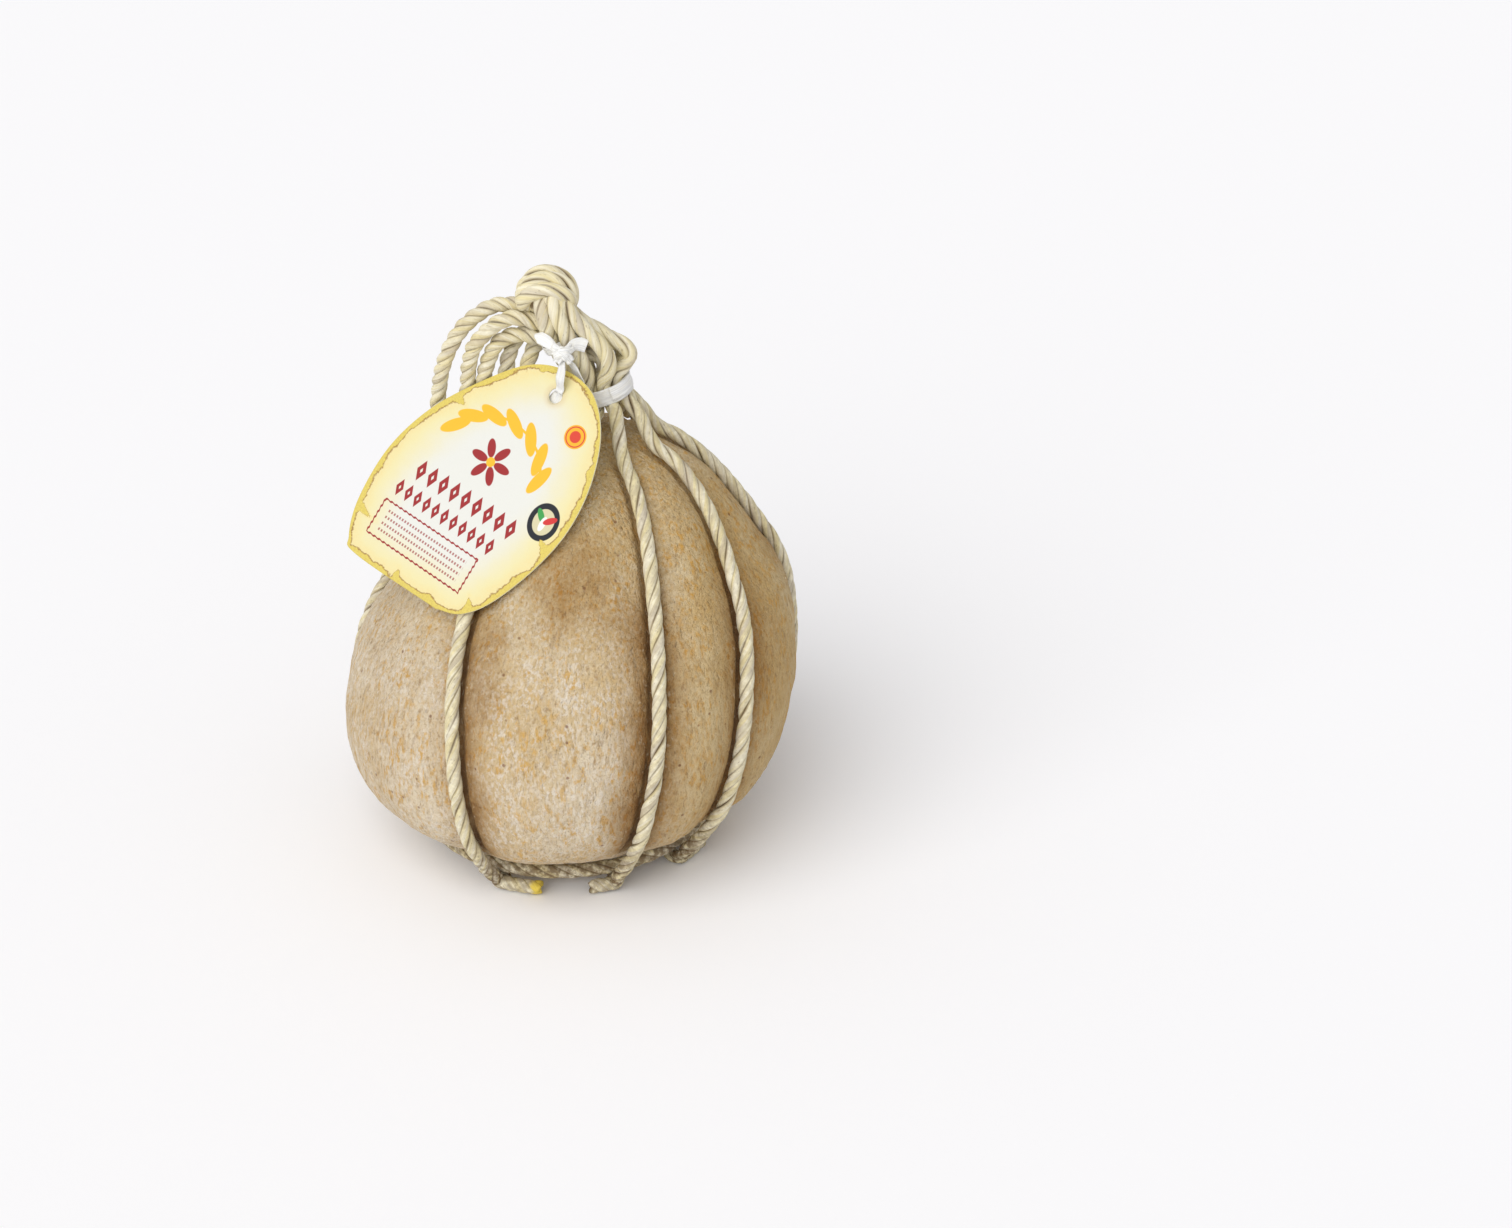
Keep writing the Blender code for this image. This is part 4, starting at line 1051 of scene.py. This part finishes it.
def strip(name, middle, across, width, milky, thickness=0.3, closed=False, crimp=0.0, seed=0.0, cells=6):
    """A ribbon along the middle points, its width along the across directions, thickened into a film."""
    middle = np.array(middle, float)
    across = unit(np.array(across, float))
    widths = np.broadcast_to(np.asarray(width, float), (len(middle),))
    along = unit(np.gradient(middle, axis=0))
    face = np.cross(along, across)
    spread = np.linspace(-0.5, 0.5, cells + 1)
    places = middle[:, None] + spread[None, :, None] * (widths[:, None] * across)[:, None]
    if crimp:
        for row in range(len(middle)):
            for column in range(cells + 1):
                wave = noise.noise(Vector((row * 0.12, column * 0.9 + seed, seed)))
                places[row, column] += crimp * wave * face[row]
    if closed:
        places[-1] = places[0]
    bm = bmesh.new()
    bm.loops.layers.uv.new("UVMap")
    length = float(np.sum(np.linalg.norm(np.diff(middle, axis=0), axis=1)))
    wrapped_grid(bm, (places * MM).tolist(), False, closed, (length, float(widths.max())), seed)
    piece = piece_of(name, bm, milky)
    thick = piece.modifiers.new("film", "SOLIDIFY")
    thick.thickness = thickness * MM
    thick.offset = 0.0
    return piece


def tie_band(milky):
    tilt = Matrix.Rotation(BAND_TILT, 3, "Y")
    up = tilt @ Vector((0, 0, 1))
    middle = []
    for step in range(145):
        angle = math.tau * step / 144.0
        flute = math.cos(7.0 * (angle - math.radians(FIRST_SLOT) - math.pi / 2.0))
        radius = BAND_RADIUS + 0.12 * flute
        spot = Vector((radius * math.cos(angle), radius * math.sin(angle), 0.0))
        middle.append(np.array(BAND_CENTRE + tilt @ spot))
    piece = strip("neck_band", middle, [up] * 145, BAND_HEIGHT, milky, 0.35, True, 0.35, 3.0, 10)
    settle(piece, "clear_ribbon", "tie_band")
    overlap = [BAND_CENTRE + tilt @ Vector((
        (BAND_RADIUS + 0.55) * math.cos(angle), (BAND_RADIUS + 0.55) * math.sin(angle), 0.6,
    )) for angle in np.linspace(math.radians(-74.0), math.radians(35.0), 40)]
    piece = strip("neck_band_tail", overlap, [up] * 40, BAND_HEIGHT * 0.8, milky, 0.3, False, 0.3, 8.0, 8)
    settle(piece, "clear_ribbon", "tie_band")


def wrap_axes():
    up = WRAP_AXIS.normalized()
    across = up.cross(WRAP_ALONG).normalized()
    return across.cross(up), across, up


def ribbon_wrap(milky):
    """The ribbon behind two of the ropes, and its arms that come round them to the knot."""
    along, across, up = wrap_axes()
    turn = []
    for step in range(121):
        angle = math.tau * step / 120.0
        x = math.copysign(WRAP_HALF_SPAN, math.cos(angle)) + WRAP_RADIUS * math.cos(angle)
        turn.append(np.array(WRAP_CENTRE + x * along + WRAP_RADIUS * math.sin(angle) * across))
    start = next(step for step, spot in enumerate(turn) if spot[1] > WRAP_CENTRE.y and turn[step - 1][1] <= WRAP_CENTRE.y)
    middle = [spot for spot in turn[start:] + turn[:start] if spot[1] > WRAP_CENTRE.y - 1.0]
    piece = strip("ribbon_turn", middle, [up] * len(middle), RIBBON_WIDTH, milky, 0.3, False, 0.3, 5.0)
    settle(piece, "clear_ribbon", "ribbon_wrap")
    for name, arm in (("ribbon_arm_left", LEFT_ARM), ("ribbon_arm_right", RIGHT_ARM)):
        points = spline([spot for spot, width in arm], 8)
        widths = np.interp(np.linspace(0.0, 1.0, len(points)), np.linspace(0.0, 1.0, len(arm)), [width for spot, width in arm])
        heading = unit(np.gradient(points, axis=0))
        flat = np.cross(heading, (0.0, -0.92, 0.38))
        piece = strip(name, points, flat, widths, milky, 0.35, False, 0.45, 9.0 if arm is LEFT_ARM else 16.0)
        settle(piece, "clear_ribbon", "ribbon_wrap")


def ribbon_knot(milky):
    """A small overhand knot: crossing folds of the ribbon over a crumpled middle."""
    out, right, up = Vector((0.1, -0.9, 0.42)).normalized(), Vector((1, 0, 0)), Vector((0, 0.42, 0.9))
    folds = (
        ((-3.2, 2.4, 0.3), (-1.2, 1.0, 2.0), (1.0, -0.6, 2.3), (2.6, -2.4, 0.9)),
        ((3.0, 2.2, 0.2), (1.4, 1.1, 1.7), (-0.8, -0.6, 1.9), (-2.0, -2.6, 0.8)),
        ((-2.8, -0.6, 0.4), (-1.0, 0.2, 2.5), (1.2, 0.5, 2.5), (2.8, 0.2, 0.4)),
    )
    for index, fold in enumerate(folds):
        points = spline([RIBBON_KNOT + 1.2 * x * right + 1.2 * y * up + z * out for x, y, z in fold], 8)
        along = unit(np.gradient(points, axis=0))
        across = np.cross(along, np.array(out))
        piece = strip(f"knot_fold_{index}", points, across, 3.0, milky, 0.9, False, 1.1, 13.0 + index)
        settle(piece, "clear_ribbon", "ribbon_knot")
    bm = bmesh.new()
    bm.loops.layers.uv.new("UVMap")
    bmesh.ops.create_uvsphere(bm, u_segments=24, v_segments=16, radius=1.0, calc_uvs=True)
    for vert in bm.verts:
        vert.co *= 1.0 + 0.22 * noise.noise(vert.co * 2.4)
    bmesh.ops.scale(bm, vec=(3.2 * MM, 2.1 * MM, 3.0 * MM), verts=bm.verts)
    bmesh.ops.translate(bm, vec=RIBBON_KNOT * MM, verts=bm.verts)
    piece = piece_of("knot_middle", bm, milky)
    settle(piece, "clear_ribbon", "ribbon_knot")


def ribbon_tails(milky):
    right, up, out = tag_axes()
    hole = tag_place(TAG_HOLE[0], TAG_HOLE[1], 0.0)
    through = (
        hole + 1.3 * out + 3.2 * up + 0.6 * right, hole + 0.7 * out + 1.7 * up + 0.5 * right,
        hole - 1.3 * out + 1.0 * up, hole - 1.9 * out - 3.4 * up,
    )
    points = spline([Vector(spot) for spot in TAIL_TO_HOLE] + list(through), 8)
    width = np.interp(np.linspace(0.0, 1.0, len(points)), (0.0, 0.3, 0.62, 0.76, 1.0), (2.6, 4.0, 3.4, 3.4, 7.6))
    piece = strip("tail_to_hole", points, [right] * len(points), width, milky, 0.35, False, 0.6, 21.0)
    settle(piece, "clear_ribbon", "ribbon_tail_to_hole")
    points = spline([Vector(spot) for spot in TAIL_BEHIND], 8)
    width = np.interp(np.linspace(0.0, 1.0, len(points)), (0.0, 0.4, 1.0), (2.6, 4.6, 4.8))
    piece = strip("tail_behind", points, [right] * len(points), width, milky, 0.35, False, 0.6, 25.0)
    settle(piece, "clear_ribbon", "ribbon_tail_behind")


# ---------------------------------------------------------------- tag

def tag_axes():
    """Right and up along the turned card, and the way that it faces."""
    azimuth, rise = (math.radians(angle) for angle in TAG_FACES)
    flat = math.cos(rise)
    out = Vector((flat * math.sin(azimuth), -flat * math.cos(azimuth), math.sin(rise)))
    level = Vector((math.cos(azimuth), math.sin(azimuth), 0.0))
    turn = Matrix.Rotation(TAG_TURN, 3, out)
    return turn @ level, turn @ out.cross(level), out


def tag_place(x, y, z):
    right, up, out = tag_axes()
    return TAG_CENTRE + x * right + y * up + z * out


def tag(card, back):
    """Rings of card from the ribbon's hole out to the rim, with each point's distance from the rim."""
    fine = spline(TAG_OUTLINE + TAG_OUTLINE[:1], 40)
    runs = np.concatenate([[0.0], np.cumsum(np.linalg.norm(np.diff(fine, axis=0), axis=1))])
    around_rim = np.linspace(0.0, runs[-1], 421)
    outline = np.column_stack([np.interp(around_rim, runs, fine[:, axis]) for axis in range(2)])
    hole = np.array(TAG_HOLE)
    inner = hole + TAG_HOLE_RADIUS * unit(outline - hole)
    shares = 1.0 - (1.0 - np.linspace(0.0, 1.0, 81)) ** 1.25
    flat = inner[None] + shares[:, None, None] * (outline - inner)[None]
    rim = np.empty(flat.shape[:2])
    for ring in range(len(shares)):
        gaps = np.linalg.norm(flat[ring][:, None] - outline[None], axis=2)
        nearest = np.argmin(gaps, axis=1)
        rim[ring] = gaps[np.arange(len(nearest)), nearest]
        share = nearest / (len(outline) - 1)
        for spot, depth, slant in TAG_NICKS:
            off = (share - spot + 0.5) % 1.0 - 0.5
            off = off * runs[-1] - slant * rim[ring] / 6.0
            rim[ring] -= depth * np.exp(-((off / 1.1) ** 2)) * np.clip(1.5 - rim[ring] / depth, 0.0, 1.0)
    right, up, out = (np.array(axis) for axis in tag_axes())
    x = flat[..., 0][..., None]
    y = flat[..., 1][..., None]
    curl = 0.25 * np.sin(x / 30.0) * np.cos(y / 34.0)
    places = np.array(TAG_CENTRE) + x * right + y * up + curl * out
    bm = bmesh.new()
    uv = bm.loops.layers.uv.new("UVMap")
    bm.verts.layers.float.new("rim")
    wrapped_grid(bm, (places * MM).tolist(), True, False, values={"rim": rim.tolist()})
    for face in bm.faces:
        for loop in face.loops:
            spot = np.array(loop.vert.co) / MM - np.array(TAG_CENTRE)
            loop[uv].uv = (float(np.dot(spot, right)), float(np.dot(spot, up)))
    piece = piece_of("tag_card", bm, card, back)
    middle = piece.data.polygons[0].normal
    if middle.dot(Vector(out)) < 0.0:
        piece.data.flip_normals()
    thick = piece.modifiers.new("card", "SOLIDIFY")
    thick.thickness = TAG_THICKNESS * MM
    thick.offset = 0.0
    thick.material_offset = 1
    thick.material_offset_rim = 1
    settle(piece, "card", "tag")


def main():
    place_camera()
    hemp = rope_finish(
        "straw_rope", tone(238, 231, 206), tone(226, 213, 166), tone(196, 184, 164), tone(112, 88, 56),
        tone(226, 200, 84),
    )
    free_ropes(hemp)
    studio()
    cheese(rind_finish())
    net_ropes(hemp)
    base_ring(hemp)
    cut_ends(hemp)
    top_knot(hemp)
    milky = ribbon_finish()
    tie_band(milky)
    ribbon_wrap(milky)
    ribbon_knot(milky)
    ribbon_tails(milky)
    tag(card_finish(), card_back_finish())


main()
